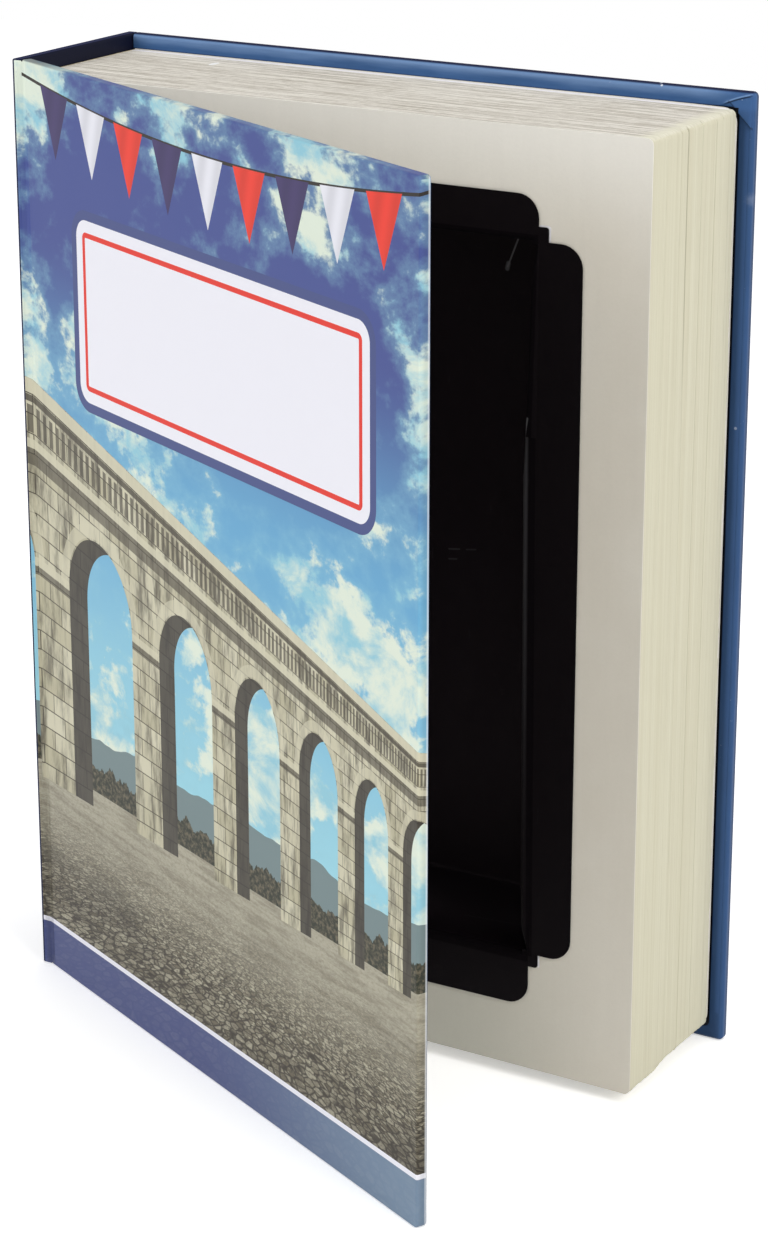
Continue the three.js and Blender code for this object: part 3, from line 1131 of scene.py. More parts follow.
@dataclass(frozen=True)
class Mottled:
    """Coarse matter with streaks of a second colour, such as pressed board or dry glue."""

    name: str
    colour: Colour
    second: Colour
    grain: tuple[float, float, float, float]
    spread: Pair
    roughness: float
    sheen_spread: float
    depth: float
    strength: float

    def material(self) -> bpy.types.Material:
        """Builds the matter.

        Returns:
            The material.
        """
        brush = Brush(self.name)
        streaks = brush.graph.noise(brush.where, *self.grain)
        rough = streaks * self.sheen_spread + self.roughness
        return brush.graph.surface(
            Base_Color=brush.graph.paint(self.colour, (streaks.ramp(*self.spread), self.second)),
            Roughness=rough if self.sheen_spread else self.roughness,
            Normal=brush.graph.bump(streaks, self.depth, self.strength),
        )


@dataclass(frozen=True)
class LiningCloth:
    """Open-weave cloth strip over the glued spine."""

    name: str = Coat.CLOTH.value
    colour: Colour = srgb(224, 219, 204)
    gap: Colour = srgb(170, 162, 140)
    thread_pitch: float = 1.1
    roughness: float = 0.95

    def material(self) -> bpy.types.Material:
        """Builds the cloth.

        Returns:
            The material.
        """
        brush = Brush(self.name)
        turn = 2 * math.pi / self.thread_pitch
        weave = (brush.y * turn).sine() * 0.5 + (brush.z * turn).sine() * 0.5
        fuzz = brush.graph.noise(brush.where, 4.0, 0.6, 1.5)
        threads = (weave * 0.5 + 0.5) * (fuzz * 0.5 + 0.75)
        return brush.graph.surface(
            Base_Color=brush.graph.paint(self.gap, (threads.ramp(0.15, 0.5), self.colour)),
            Roughness=self.roughness,
            Normal=brush.graph.bump(threads, 0.25 * MM, 0.8),
        )


Palette = dict[Coat, bpy.types.Material]


def mix_palette() -> Palette:
    """Builds every finish of the book.

    Returns:
        The materials by their coats.
    """
    blue = SatinPaper(
        Coat.BLUE.value,
        colour=srgb(38, 65, 103),
        worn=srgb(206, 214, 228),
        edge=srgb(13, 19, 52),
        head_lit_colour=srgb(56, 92, 140),
        head_light=srgb(116, 148, 192),
        shadow_across=171.05,
        shadow_height=236.0,
        shadow_depth=(21.9, 22.6),
        marks=(
            Mark((150.1, 24.0, 240.0), 0.52, 1.0),
            Mark((150.9, 22.6, 239.7), 0.36, 1.0),
            Mark((171.8, 22.3, 238.3), 0.35, 0.9),
            Mark((173.2, 22.4, 239.0), 0.3, 0.8),
            Mark((174.8, 23.0, 215.0), 2.2, 0.14, 0.0),
            Mark((169.9, 22.3, 203.3), 0.4, 0.5),
            Mark((172.9, 22.3, 160.0), 0.5, 0.3),
        ),
    )
    navy = SatinPaper(
        Coat.NAVY.value,
        colour=srgb(15, 18, 38),
        worn=srgb(70, 78, 110),
        edge=srgb(14, 16, 34),
        head_lit_colour=srgb(15, 18, 38),
        roughness=0.5,
        gloss=0.1,
    )
    white = SheetPaper(
        Coat.WHITE.value,
        colour=srgb(232, 229, 222),
        cast=srgb(229, 226, 218),
        head_light_tone=srgb(232, 229, 222),
        foot_shade_tone=srgb(228, 225, 217),
    )
    card = SheetPaper(
        Coat.CARD.value,
        colour=srgb(230, 225, 213),
        cast=srgb(226, 220, 207),
        head_light_tone=srgb(243, 240, 232),
        foot_shade_tone=srgb(200, 199, 188),
        roughness=0.6,
        rims=(
            Scratch((142.9, 213.5), (145.0, 213.5), 0.42, 0.95),
            Scratch((145.35, 213.3), (145.35, 210.3), 0.42, 0.95),
            Scratch((145.35, 33.5), (145.35, 31.0), 0.42, 0.9),
        ),
    )
    board = Mottled(
        Coat.BOARD.value, srgb(158, 150, 137), srgb(118, 108, 96),
        (6.0, 0.7, 1.2, 0.6), (0.5, 0.75), 0.92, 0.0, 0.3 * MM, 0.6,
    )
    glue = Mottled(
        Coat.GLUE.value, srgb(212, 198, 158), srgb(176, 156, 108),
        (4.0, 0.6, 0.35, 0.8), (0.35, 0.7), 0.3, 0.3, 0.6 * MM, 0.7,
    )
    coloured = (PrintedCover(), blue, navy, white, card)
    finishes = (*coloured, PageEdges(), BlackSheet(), board, glue, LiningCloth())
    return {Coat(finish.name): finish.material() for finish in finishes}


def solid_from(
    bm: Shape, name: str, materials: Iterable[bpy.types.Material], sharp_degrees: float = 40.0
) -> bpy.types.Object:
    """Turns a bmesh into an object at the origin, smooth except at its sharp edges.

    Args:
        bm: the finished shape, in the part's frame; it is freed.
        name: the object's name.
        materials: what it is dressed in.
        sharp_degrees: edges that turn more than this stay sharp.

    Returns:
        The new object.
    """
    bm.normal_update()
    for face in bm.faces:
        face.smooth = True
    for edge in bm.edges:
        turn = edge.calc_face_angle(0.0) if len(edge.link_faces) == 2 else 0.0
        edge.smooth = turn < math.radians(sharp_degrees)
    mesh = bpy.data.meshes.new(name)
    bm.to_mesh(mesh)
    bm.free()
    for material in materials:
        mesh.materials.append(material)
    piece = bpy.data.objects.new(name, mesh)
    bpy.context.scene.collection.objects.link(piece)
    return piece


def block(low: Iterable[float], high: Iterable[float]) -> Shape:
    """Starts a bmesh as a rectangular block.

    Args:
        low, high: two opposite corners.

    Returns:
        The block.
    """
    bm = bmesh.new()
    low, high = Vector(low), Vector(high)
    place = Matrix.Translation((low + high) / 2) @ Matrix.Diagonal((*(high - low), 1.0))
    bmesh.ops.create_cube(bm, size=1.0, matrix=place)
    return bm


def round_off(
    bm: Shape, chosen: Callable[..., bool], radius: float, segments: int, corners: bool = False
) -> None:
    """Rounds the edges, or the corners of a sheet, that a test picks.

    Args:
        bm: the shape.
        chosen: says whether one of them is rounded.
        radius: the rounding's width on each side.
        segments: its number of steps.
        corners: whether it rounds a sheet's corners, and not its edges.
    """
    bm.normal_update()
    bmesh.ops.bevel(
        bm,
        geom=[item for item in (bm.verts if corners else bm.edges) if chosen(item)],
        offset=radius,
        offset_type="OFFSET",
        affect="VERTICES" if corners else "EDGES",
        segments=segments,
        profile=0.5,
        material=-1,
        clamp_overlap=True,
    )


def cut_across(bm: Shape, axis: int, level: float, faces: Optional[Faces] = None) -> Faces:
    """Cuts a shape, or some of its faces, along a plane across an axis.

    Args:
        bm: the shape.
        axis: the axis.
        level: where the plane crosses it.
        faces: the faces to cut, if not all.

    Returns:
        The faces after the cut.
    """
    point, normal = Vector((0.0, 0.0, 0.0)), Vector((0.0, 0.0, 0.0))
    point[axis], normal[axis] = level, 1.0
    geometry = set(bm.faces if faces is None else faces)
    for face in list(geometry):
        geometry.update(face.edges, face.verts)
    cut = bmesh.ops.bisect_plane(bm, geom=list(geometry), plane_co=point, plane_no=normal)
    return [item for item in cut["geom"] if isinstance(item, bmesh.types.BMFace)]


def face_along(bm: Shape, sign: float) -> None:
    """Turns a sheet so that it faces one way.

    Args:
        bm: the sheet.
        sign: 1 to face along y, -1 to face against it.
    """
    bm.normal_update()
    if sum(face.normal.y for face in bm.faces) * sign < 0:
        bmesh.ops.reverse_faces(bm, faces=bm.faces[:])


def rim_between(edge: Edge, axis: int, sign: float = 0.0) -> bool:
    """Tells the edges of a broad face across an axis.

    Args:
        edge: the edge.
        axis: the axis that the broad face looks along.
        sign: 1 or -1 where the broad face has to look forwards or backwards along it.

    Returns:
        Whether the edge parts such a face from a face along the axis.
    """
    if len(edge.link_faces) != 2:
        return False
    first, second = sorted((face.normal[axis] for face in edge.link_faces), key=abs)
    return abs(second) > 0.9 and abs(first) < 0.5 and second * sign >= 0


def fore_corner(edge: Edge, reach: float) -> bool:
    """Whether an edge goes through a sheet or board at a corner of its fore-edge."""
    a, b = (vert.co for vert in edge.verts)
    return min(a.x, b.x) > reach - TINY and abs(a.z - b.z) < TINY


def open_board(bm: Shape, axis: int, height: float, turn_in: float, side: float = math.inf) -> None:
    """Takes the paper off a board's inner face between the turn-ins, and recoats the turn-ins.

    Args:
        bm: the paper all round the board.
        axis: the axis that the inner face looks along.
        height: the board's height.
        turn_in: width of the turn-ins at head and foot.
        side: how far across the bare part reaches, if not to the end.
    """
    bm.normal_update()
    inner = [face for face in bm.faces if face.normal[axis] > FLAT]
    cuts = [(0, side), (2, turn_in), (2, height - turn_in)]
    for along, level in cuts if side < math.inf else cuts[1:]:
        inner = cut_across(bm, along, level, inner)
    bare = []
    for face in inner:
        middle = face.calc_center_median()
        if turn_in < middle.z < height - turn_in and middle.x < side:
            bare.append(face)
    bmesh.ops.delete(bm, geom=bare, context="FACES")
    bm.normal_update()
    for face in bm.faces:
        face.material_index = int(face.normal[axis] > 0.25)


def lay_print(bm: Shape, spot: Callable[[Vector, Vector], Pair]) -> None:
    """Lays the printed sheet flat.

    Args:
        bm: the shape.
        spot: gives the place on the sheet from a face's normal and one of its points.
    """
    layer = bm.loops.layers.uv.new(PRINT_MAP)
    bm.normal_update()
    for face in bm.faces:
        for loop in face.loops:
            loop[layer].uv = spot(face.normal, loop.vert.co)


@dataclass
class BookFrame:
    """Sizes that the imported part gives, in metres."""

    flap_head: float = 10.0 * MM
    flap_foot: float = 13.4 * MM
    flap_side: float = 11.4 * MM
    liner_sheet: float = 0.4 * MM

    def __post_init__(self) -> None:
        """Reads the boxes of the CAD nodes and the joint, and works out the window."""
        self.spine, self.back, self.page, self.flyleaf, (low, high) = (
            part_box(node)
            for node in (
                "spine_paper", "back_cover_paper", "window_page", "back_flyleaf", "cavity_liner"
            )
        )
        floor = high.y - self.liner_sheet
        self.window_low = Vector((low.x + self.flap_side, low.y, low.z + self.flap_foot))
        self.window_high = Vector((high.x - self.flap_side, floor, high.z - self.flap_head))
        self.thickness, _, self.height = (far - near for near, far in zip(*self.spine))
        joint = frame["joints"][0]
        self.hinge = Vector(joint["pos_m"])
        self.open_angle = -math.radians(joint["range_deg"][0])
        self.outset = self.spine[0].y - self.hinge.y


@dataclass
class Assembly:
    """Pieces that share the book's sizes and finishes."""

    book: BookFrame
    palette: Palette

    def add(
        self,
        bm: Shape,
        name: str,
        coats: Iterable[Coat],
        slot: Coat,
        body: Optional[Body] = Body.BOOK,
        replaced: Optional[str] = None,
        wall: float = 0.0,
        back: int = 0,
        sharp_degrees: float = 40.0,
        even: bool = False,
    ) -> bpy.types.Object:
        """Makes a piece of a shape, hangs it on its body and hides the CAD node that it stands for.

        Args:
            bm: the shape, in the part's frame.
            name: the piece's name.
            coats: its finishes.
            slot: not used.
            body: the body that it rides on, if it is one alone.
            replaced: the CAD node that it stands for.
            wall: thickness given to an open sheet behind its visible face.
            back: how many finishes further on the one of the sheet's back and cut edges is.
            sharp_degrees: edges that turn more than this stay sharp.
            even: whether wide flat faces keep their own shading beside narrow rounded ones.

        Returns:
            The piece.
        """
        piece = solid_from(bm, name, [self.palette[coat] for coat in coats], sharp_degrees)
        if wall:
            thickness = piece.modifiers.new("thickness", "SOLIDIFY")
            thickness.thickness = wall
            thickness.offset = -1.0
            thickness.use_even_offset = True
            thickness.material_offset = thickness.material_offset_rim = back
        if even:
            piece.modifiers.new("even_normals", "WEIGHTED_NORMAL").keep_sharp = True
        if body:
            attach(piece, body.value)
        if replaced:
            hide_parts(replaced)
        log.info("built %s", name)
        return piece


@dataclass
class Cover(Assembly):
    """One covered board, in a frame of its own: across from the spine, inwards, and up."""

    side: Side
    body: Body
    matrix: Matrix
    start: float
    reach: float
    outer: Coat
    corner_radius: float = 1.2 * MM
    edge_radius: float = 0.5 * MM
    inner_radius: float = 1.1 * MM
    edge_segments: int = 5
    turn_in: float = 15.0 * MM
    paper: float = 0.2 * MM
    folded_paper: float = 0.12 * MM
    margin: float = 3.4 * MM
    endpaper_thickness: float = 0.1 * MM
    endpaper_start: float = 0.3 * MM
    endpaper_corner: float = 0.6 * MM
    endpaper_edge: float = 0.03 * MM
    strip_lift: float = 0.03 * MM
    strip_steps: tuple[int, int] = (10, 48)
    pleat_start: float = 0.45 * MM
    pleat_lift: float = 0.04 * MM
    pleat_size: float = 10.0 * MM
    pleat_step: float = 0.25 * MM
    pleat_band: float = 3.8 * MM
    pleat_layer: float = 0.16 * MM
    pleat_ridge: float = 0.42 * MM
    pleat_facet: float = 0.5 * MM
    pleat_crease: float = 0.3 * MM
    pleat_ridge_run: float = 3.5 * MM
    pleat_fade: float = 3.0 * MM
    pleat_sink: float = 0.06 * MM
    pleat_inset: float = 0.2 * MM

    def _add(
        self, bm: Shape, name: str, coat: Coat, inner: Optional[Coat] = None, **rest: object
    ) -> None:
        """Moves a shape from the cover's frame into the part's and makes its piece.

        Args:
            bm: the shape.
            name: the end of the piece's name.
            coat: its finish.
            inner: a second finish.
            rest: what else the piece needs.
        """
        bm.transform(self.matrix)
        if self.matrix.is_negative:
            bmesh.ops.reverse_faces(bm, faces=bm.faces[:])
        coats = (coat, inner) if inner else (coat,)
        self.add(bm, f"{self.side.value}_cover_{name}", coats, coat, self.body, **rest)

    def _print_spot(self, normal: Vector, point: Vector) -> Pair:
        """Place on the printed sheet, which runs on over the rounded edges.

        Args:
            normal: a face's normal.
            point: a point of it.

        Returns:
            The place, across and up.
        """
        across = float(normal.x > 0.3)
        up = float(normal.z > 0.3) - float(normal.z < -0.3)
        return point.x + self.start + across * point.y, point.z + up * point.y

    def _wrap(self) -> None:
        """Builds the cover paper: outer face, rounded edges and turn-ins on the inner face."""
        high = (self.reach, self.book.thickness, self.book.height)
        bm = block((self.start, 0.0, 0.0), high)
        segments = self.edge_segments
        round_off(bm, lambda edge: fore_corner(edge, self.reach), self.corner_radius, segments)
        bm.normal_update()
        hinge_side = [face for face in bm.faces if face.normal.x < -0.9]
        bmesh.ops.delete(bm, geom=hinge_side, context="FACES")
        for radius, sign in ((self.inner_radius, 1.0), (self.edge_radius, -1.0)):
            round_off(bm, lambda edge: rim_between(edge, 1, sign), radius, segments)
        open_board(bm, 1, self.book.height, self.turn_in, self.reach - self.turn_in)
        lay_print(bm, self._print_spot)
        replaced = f"{self.side.value}_cover_paper"
        self._add(
            bm, "paper_wrap", self.outer, Coat.BLUE, replaced=replaced, wall=self.paper, even=True
        )

    def _fore_edge_turn_in(self) -> None:
        """Builds the mitred strip turned in over the fore-edge, its steps crowded at its ends."""
        bm = bmesh.new()
        across, up = self.strip_steps
        bmesh.ops.create_grid(bm, x_segments=across, y_segments=up, size=0.5)
        for vert in bm.verts:
            inwards = self.inner_radius + (0.5 - vert.co.x) * (self.turn_in - self.inner_radius)
            share = 0.5 - 0.5 * math.cos(math.pi * (vert.co.y + 0.5))
            z = inwards + (self.book.height - 2 * inwards) * share
            vert.co = (self.reach - inwards, self.book.thickness + self.strip_lift, z)
        face_along(bm, 1.0)
        self._add(bm, "fore_edge_turn_in", Coat.BLUE, wall=self.folded_paper)

    def _rounding(self, past: float) -> float:
        """How far the rounded edge lies below the inner face, so far past its start."""
        return self.inner_radius - math.sqrt(max(0.0, self.inner_radius**2 - past**2))

    def _pleat_height(self, inwards: float, down: float, creased: bool) -> float:
        """How high the folded corner stands over the inner face.

        Args:
            inwards: distance from the fore-edge.
            down: distance from the head or foot.
            creased: whether the fold stands up in a ridge and a facet.

        Returns:
            The height.
        """
        bow = FOLD.bow * MM * math.sin(math.pi * inwards / (FOLD.bow_run * MM))
        mitre = FOLD.start[1] * MM + FOLD.slope * (inwards - FOLD.start[0] * MM) - bow
        beyond = (down - mitre) / self.pleat_crease
        layer = self.pleat_layer / (1.0 + math.exp(min(max(4.0 * beyond, -30.0), 30.0)))
        ridge = self.pleat_ridge * math.exp(-(beyond**2) / 1.4)
        ridge *= min(1.0, self.pleat_ridge_run / max(inwards, self.pleat_crease))
        share = sum(
            (away - start * MM) / (run * MM)
            for away, start, run in zip((inwards, down), FOLD.facet_start, FOLD.facet_run)
        )
        facet = self.pleat_facet * max(0.0, share) if down > mitre and share < 1.0 else 0.0
        drop = sum(self._rounding(max(0.0, self.inner_radius - gap)) for gap in (inwards, down))
        left = (self.pleat_size - max(inwards, down)) / self.pleat_fade
        fade = min(1.0, max(0.0, left))
        raised = (layer + ridge) * fade + facet if creased else 0.0
        return raised - self.pleat_sink * (1.0 - fade) - drop

    def _bare(self, inwards: float, down: float) -> bool:
        """Tells the places beside the corner's two overhanging strips, or outside its rounding.

        Args:
            inwards: distance from the fore-edge.
            down: distance from the head or foot.

        Returns:
            Whether a place is one of them.
        """
        centre = self.corner_radius + self.pleat_inset
        away = math.hypot(max(centre - inwards, 0.0), max(centre - down, 0.0))
        outside = away > self.corner_radius - self.pleat_inset
        return min(inwards, down) > self.pleat_band or outside

    def _corner_pleat(self, at_head: bool) -> None:
        """Builds the paper folded over one fore-edge corner, creased where it overlaps.

        Args:
            at_head: whether it is the head's corner or the foot's.
        """
        steps = round(self.pleat_size / self.pleat_step)
        height = self.book.height
        bm = bmesh.new()
        bmesh.ops.create_grid(bm, x_segments=steps, y_segments=steps, size=0.5)
        for vert in bm.verts:
            inwards, down = (self.pleat_start + (co + 0.5) * self.pleat_size for co in vert.co.xy)
            lift = self.pleat_lift + self._pleat_height(inwards, down, at_head)
            z = height - down if at_head else down
            vert.co = (self.reach - inwards, self.book.thickness + lift, z)
        spare = []
        for face in bm.faces:
            x, _, z = face.calc_center_median()
            if self._bare(self.reach - x, height - z if at_head else z):
                spare.append(face)
        bmesh.ops.delete(bm, geom=spare, context="FACES")
        face_along(bm, 1.0)
        name = f"{'head' if at_head else 'foot'}_corner_pleat"
        self._add(bm, name, Coat.BLUE, wall=self.folded_paper, sharp_degrees=60.0)

    def _pastedown(self) -> None:
        """Builds the endpaper pasted over the board's inner face and the turn-ins."""
        level = self.book.thickness
        top = level + self.endpaper_thickness
        high = Vector((self.reach - self.margin, top, self.book.height - self.margin))
        bm = block((self.start + self.endpaper_start, level, self.margin), high)
        round_off(bm, lambda edge: fore_corner(edge, high.x), self.endpaper_corner, segments=3)
        round_off(bm, lambda edge: rim_between(edge, 1), self.endpaper_edge, segments=2)
        replaced = f"{self.side.value}_pastedown"
        self._add(bm, "endpaper", Coat.WHITE, replaced=replaced, even=True)

    def build(self) -> None:
        """Builds the cover's five pieces of paper."""
        self._wrap()
        self._fore_edge_turn_in()
        self._corner_pleat(True)
        self._corner_pleat(False)
        self._pastedown()


@dataclass
class SpinePanel(Assembly):
    """Spine board's paper, and the strips of paper that cross the folds beside it."""

    edge_radius: float = 0.5 * MM
    edge_segments: int = 4
    turn_in: float = 15.0 * MM
    paper: float = 0.2 * MM
    head_shift: float = 6.0 * MM
    strip_overlap: float = 2.2 * MM
    strip_proud: float = 0.03 * MM
    strip_thickness: float = 0.14 * MM
    strip_flat: float = 0.6 * MM
    strip_edge: float = 0.05 * MM
    bend_steps: int = 14
    blend_run: float = 0.1 * MM
    blend_level: float = 120.0 * MM

    def _wrap(self) -> None:
        """Builds the cover paper round the spine board, turned in at head and foot."""
        low, high = self.book.spine
        bm = block(low, high)

        def outer_edge(edge: Edge) -> bool:
            """Whether an edge is an upright one of the outer face."""
            a, b = (vert.co for vert in edge.verts)
            return max(a.x, b.x) < low.x + TINY and abs(a.z - b.z) > TINY

        def spot(normal: Vector, point: Vector) -> Pair:
            """Place on the sheet, which runs across the front end and back over the spine."""
            past = self.head_shift if normal.z > 0.3 else 0.0
            return (point.x - high.x) - (point.y - low.y), point.z + past

        for chosen in (outer_edge, lambda edge: rim_between(edge, 2)):
            round_off(bm, chosen, self.edge_radius, self.edge_segments)
        open_board(bm, 0, self.book.height, self.turn_in)
        lay_print(bm, spot)
        self.add(
            bm,
            "spine_paper_wrap",
            (Coat.PRINTED, Coat.NAVY),
            Coat.NAVY,
            replaced="spine_paper",
            wall=self.paper,
            even=True,
        )

    def _front_fold(self) -> None:
        """Builds the printed strip that crosses the fold between spine and front cover."""
        hinge, angle, outset = self.book.hinge, self.book.open_angle, self.book.outset
        face_y, edge = self.book.spine[0].y, self.book.spine[1].x
        half = hinge.x - edge
        flat, ends, proud = self.strip_flat, self.strip_overlap, self.strip_proud
        along = Vector((math.cos(angle), -math.sin(angle), 0.0))
        inwards = Vector((math.sin(angle), math.cos(angle), 0.0))
        radius = outset - proud
        path: list[tuple[Vector, float]] = [
            (Vector((edge - ends, face_y + proud, 0.0)), -ends),
            (Vector((edge - flat, face_y - proud, 0.0)), -flat),
        ]
        for step in range(self.bend_steps + 1):
            turn = angle * step / self.bend_steps
            out = Vector((math.sin(turn), math.cos(turn), 0.0))
            path.append((hinge + out * radius, half + radius * turn))
        for level, reach in ((radius, flat), (outset + proud, ends)):
            path.append((hinge + inwards * level + along * (half + reach), 2 * half + reach))
        bm = bmesh.new()
        foot = Vector((0.0, 0.0, self.edge_radius))
        verts = [bm.verts.new(place + foot) for place, _ in path]
        edges = [bm.edges.new(pair) for pair in zip(verts, verts[1:])]
        top = bmesh.ops.extrude_edge_only(bm, edges=edges)["geom"]
        lifted = [item for item in top if isinstance(item, bmesh.types.BMVert)]
        bmesh.ops.translate(bm, vec=(0, 0, self.book.height - 2 * self.edge_radius), verts=lifted)

        def spot(_: Vector, point: Vector) -> Pair:
            """Place on the sheet, by the nearest point of the path."""
            return min(path, key=lambda item: (item[0].xy - point.xy).length)[1], point.z

        lay_print(bm, spot)
        face_along(bm, -1.0)
        piece = self.add(
            bm,
            "front_fold_paper",
            (Coat.PRINTED, Coat.WHITE),
            Coat.PRINTED,
            body=None,
            wall=self.strip_thickness,
            back=1,
            sharp_degrees=80.0,
        )
        run, level = self.blend_run, self.blend_level
        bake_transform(piece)

    def _back_fold(self) -> None:
        """Builds the blue strip that crosses the fold between spine and back cover."""
        face_y = self.book.spine[1].y + self.strip_proud
        low = (
            self.book.spine[1].x - self.strip_overlap,
            face_y - self.strip_thickness,
            self.edge_radius,
        )
        high = (
            self.book.back[0].x + self.strip_overlap,
            face_y,
            self.book.height - self.edge_radius,
        )
        bm = block(low, high)
        round_off(bm, lambda edge: rim_between(edge, 1), self.strip_edge, segments=2)
        self.add(bm, "back_fold_paper", (Coat.BLUE,), Coat.BLUE, even=True)

    def build(self) -> None:
        """Builds the spine's wrap and both strips."""
        self._wrap()
        self._front_fold()
        self._back_fold()


@dataclass
class PageBlock(Assembly):
    """Pages in sections, trimmed a little unevenly, with the front half hanging lower."""

    section_count: int = 12
    cut_count: int = 10
    levels: int = 7
    seed: int = 11
    corner_radius: float = 1.5 * MM
    corner_spread: float = 0.25 * MM
    corner_steps: int = 6
    straight_steps: int = 8
    ragged: float = 0.06 * MM
    wave: float = 0.12 * MM
    wave_turn: float = 5.1
    wave_start: float = 2.3
    foot_drop: float = 1.2 * MM
    back_drop: float = 0.14 * MM
    drop_start: float = -0.5 * MM
    drop_run: float = 8.0 * MM
    flyleaf_corner: float = 3.2 * MM
    back_gap: float = 0.7 * MM
    gap_run: float = 15.0 * MM
    gap_steps: int = 5
    flyleaf_proud: float = 0.25 * MM

    def __post_init__(self) -> None:
        """Starts the fixed series of small differences."""
        self.random = random.Random(self.seed)

    @staticmethod
    def _eased(share: float) -> float:
        """A share held between 0 and 1 and eased at both."""
        share = min(max(share, 0.0), 1.0)
        return share * share * (3 - 2 * share)

    def _outline(
        self, low: Vector, high: Vector, radius: float, drop: float, shift: float
    ) -> list[Vector]:
        """Draws the page's outline at one depth, round from the spine's foot to its head.

        Args:
            low, high: the section's corners.
            radius: rounding of the two fore-edge corners.
            drop: how far the fore-edge's foot hangs.
            shift: how far the fore-edge stands in.

        Returns:
            Its points, at depth 0.
        """
        right, foot, head = high.x - shift, low.z - drop, high.z
        inner = right - radius
        shares = [step / self.straight_steps for step in range(self.straight_steps + 1)]
        turns = [QUARTER * step / self.corner_steps for step in range(self.corner_steps + 1)]
        arcs = [(radius * (1 - math.sin(turn)), radius * (1 - math.cos(turn))) for turn in turns]
        points = [(low.x + (inner - low.x) * at, low.z - drop * at**2) for at in shares[:-1]]
        points += [(right - near, foot + far) for near, far in arcs]
        for share in shares[1:-1]:
            sway = abs(self.wave * math.sin(self.wave_turn * share + self.wave_start))
            points.append((right - sway, foot + radius + (head - foot - 2 * radius) * share))
        points += [(right - far, head - near) for near, far in arcs]
        points += [(inner - (inner - low.x) * at, head) for at in shares[1:]]
        return [Vector((x, 0.0, z)) for x, z in points]

    def _drop(self, depth: float) -> float:
        """How far the fore-edge's foot hangs at a depth: the front half more than the back half."""
        share = self._eased((self.drop_start - depth) / self.drop_run)
        return self.back_drop + (self.foot_drop - self.back_drop) * share

    def _slab(
        self, low: Vector, high: Vector, levels: int, opened: bool, corner: Optional[float] = None
    ) -> Shape:
        """Builds one section as a stack of slightly different outlines.

        Args:
            low, high: its corners.
            levels: number of outlines through its thickness.
            opened: whether it has the window.
            corner: rounding of its fore-edge corners, if not the pages'.

        Returns:
            The closed shape.
        """
        bm = bmesh.new()
        near, far = self.book.window_low, self.book.window_high
        corners = ((near.x, near.z), (far.x, near.z), (far.x, far.z), (near.x, far.z))
        hole = [Vector((x, 0.0, z)) for x, z in corners]
        rings: list[list[list[Edge]]] = []
        for level in range(levels):
            depth = Vector((0.0, low.y + (high.y - low.y) * level / (levels - 1), 0.0))
            radius = corner or self.corner_radius
            radius += self.random.uniform(-0.5, 1.0) * self.corner_spread
            shift = self.random.uniform(0.0, 1.0) * self.ragged
            hang = self._drop(depth.y) + self.random.uniform(-1.0, 1.0) * self.ragged
            ring = []
            for loop in [self._outline(low, high, radius, hang, shift)] + [hole] * opened:
                verts = [bm.verts.new(point + depth) for point in loop]
                ring.append([bm.edges.new(pair) for pair in zip(verts, verts[1:] + verts[:1])])
            rings.append(ring)
        for ring, following in zip(rings, rings[1:]):
            for loop, onwards in zip(ring, following):
                bmesh.ops.bridge_loops(bm, edges=loop + onwards)
        for ring in (rings[0], rings[-1]):
            bmesh.ops.triangle_fill(
                bm, edges=sum(ring, []), use_beauty=True, use_dissolve=False, normal=(0.0, 1.0, 0.0)
            )
        bmesh.ops.recalc_face_normals(bm, faces=bm.faces[:])
        return bm

    def _open_gap(self, bm: Shape, start: float, end: float) -> None:
        """Lets the last leaves stand off the back cover along the fore-edge.

        Args:
            bm: the section.
            start, end: depths between which the leaves close up.
        """
        edge = self.book.flyleaf[1].x
        for step in range(self.gap_steps):
            cut_across(bm, 0, edge - self.gap_run * (1 - step / self.gap_steps))
        for vert in bm.verts:
            run = self._eased((vert.co.x - edge + self.gap_run) / self.gap_run)
            share = min(max((vert.co.y - start) / (end - start), 0.0), 1.0)
            vert.co.y -= self.back_gap * run * share

    def _place(self, bm: Shape, node: str, coat: Coat) -> None:
        """Makes a slab the piece that stands for a CAD node."""
        self.add(bm, f"{node}_leaves", (coat,), coat, replaced=node, sharp_degrees=35.0)

    def build(self) -> None:
        """Builds the front page, every section and the flyleaf."""
        self._place(self._slab(*self.book.page, 2, True), "window_page", Coat.CARD)
        nodes = [f"page_section_{number:02d}" for number in range(1, self.section_count + 1)]
        low, high = self.book.flyleaf
        gap = (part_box(nodes[-1])[0].y, low.y)
        for index, node in enumerate(nodes):
            bm = self._slab(*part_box(node), self.levels, index < self.cut_count)
            if node == nodes[-1]:
                self._open_gap(bm, *gap)
            self._place(bm, node, Coat.PAGES)
        proud = Vector((self.flyleaf_proud, 0.0, self.flyleaf_proud))
        bm = self._slab(low, high + proud, 2, False, self.flyleaf_corner)
        self._open_gap(bm, *gap)
        self._place(bm, "back_flyleaf", Coat.WHITE)


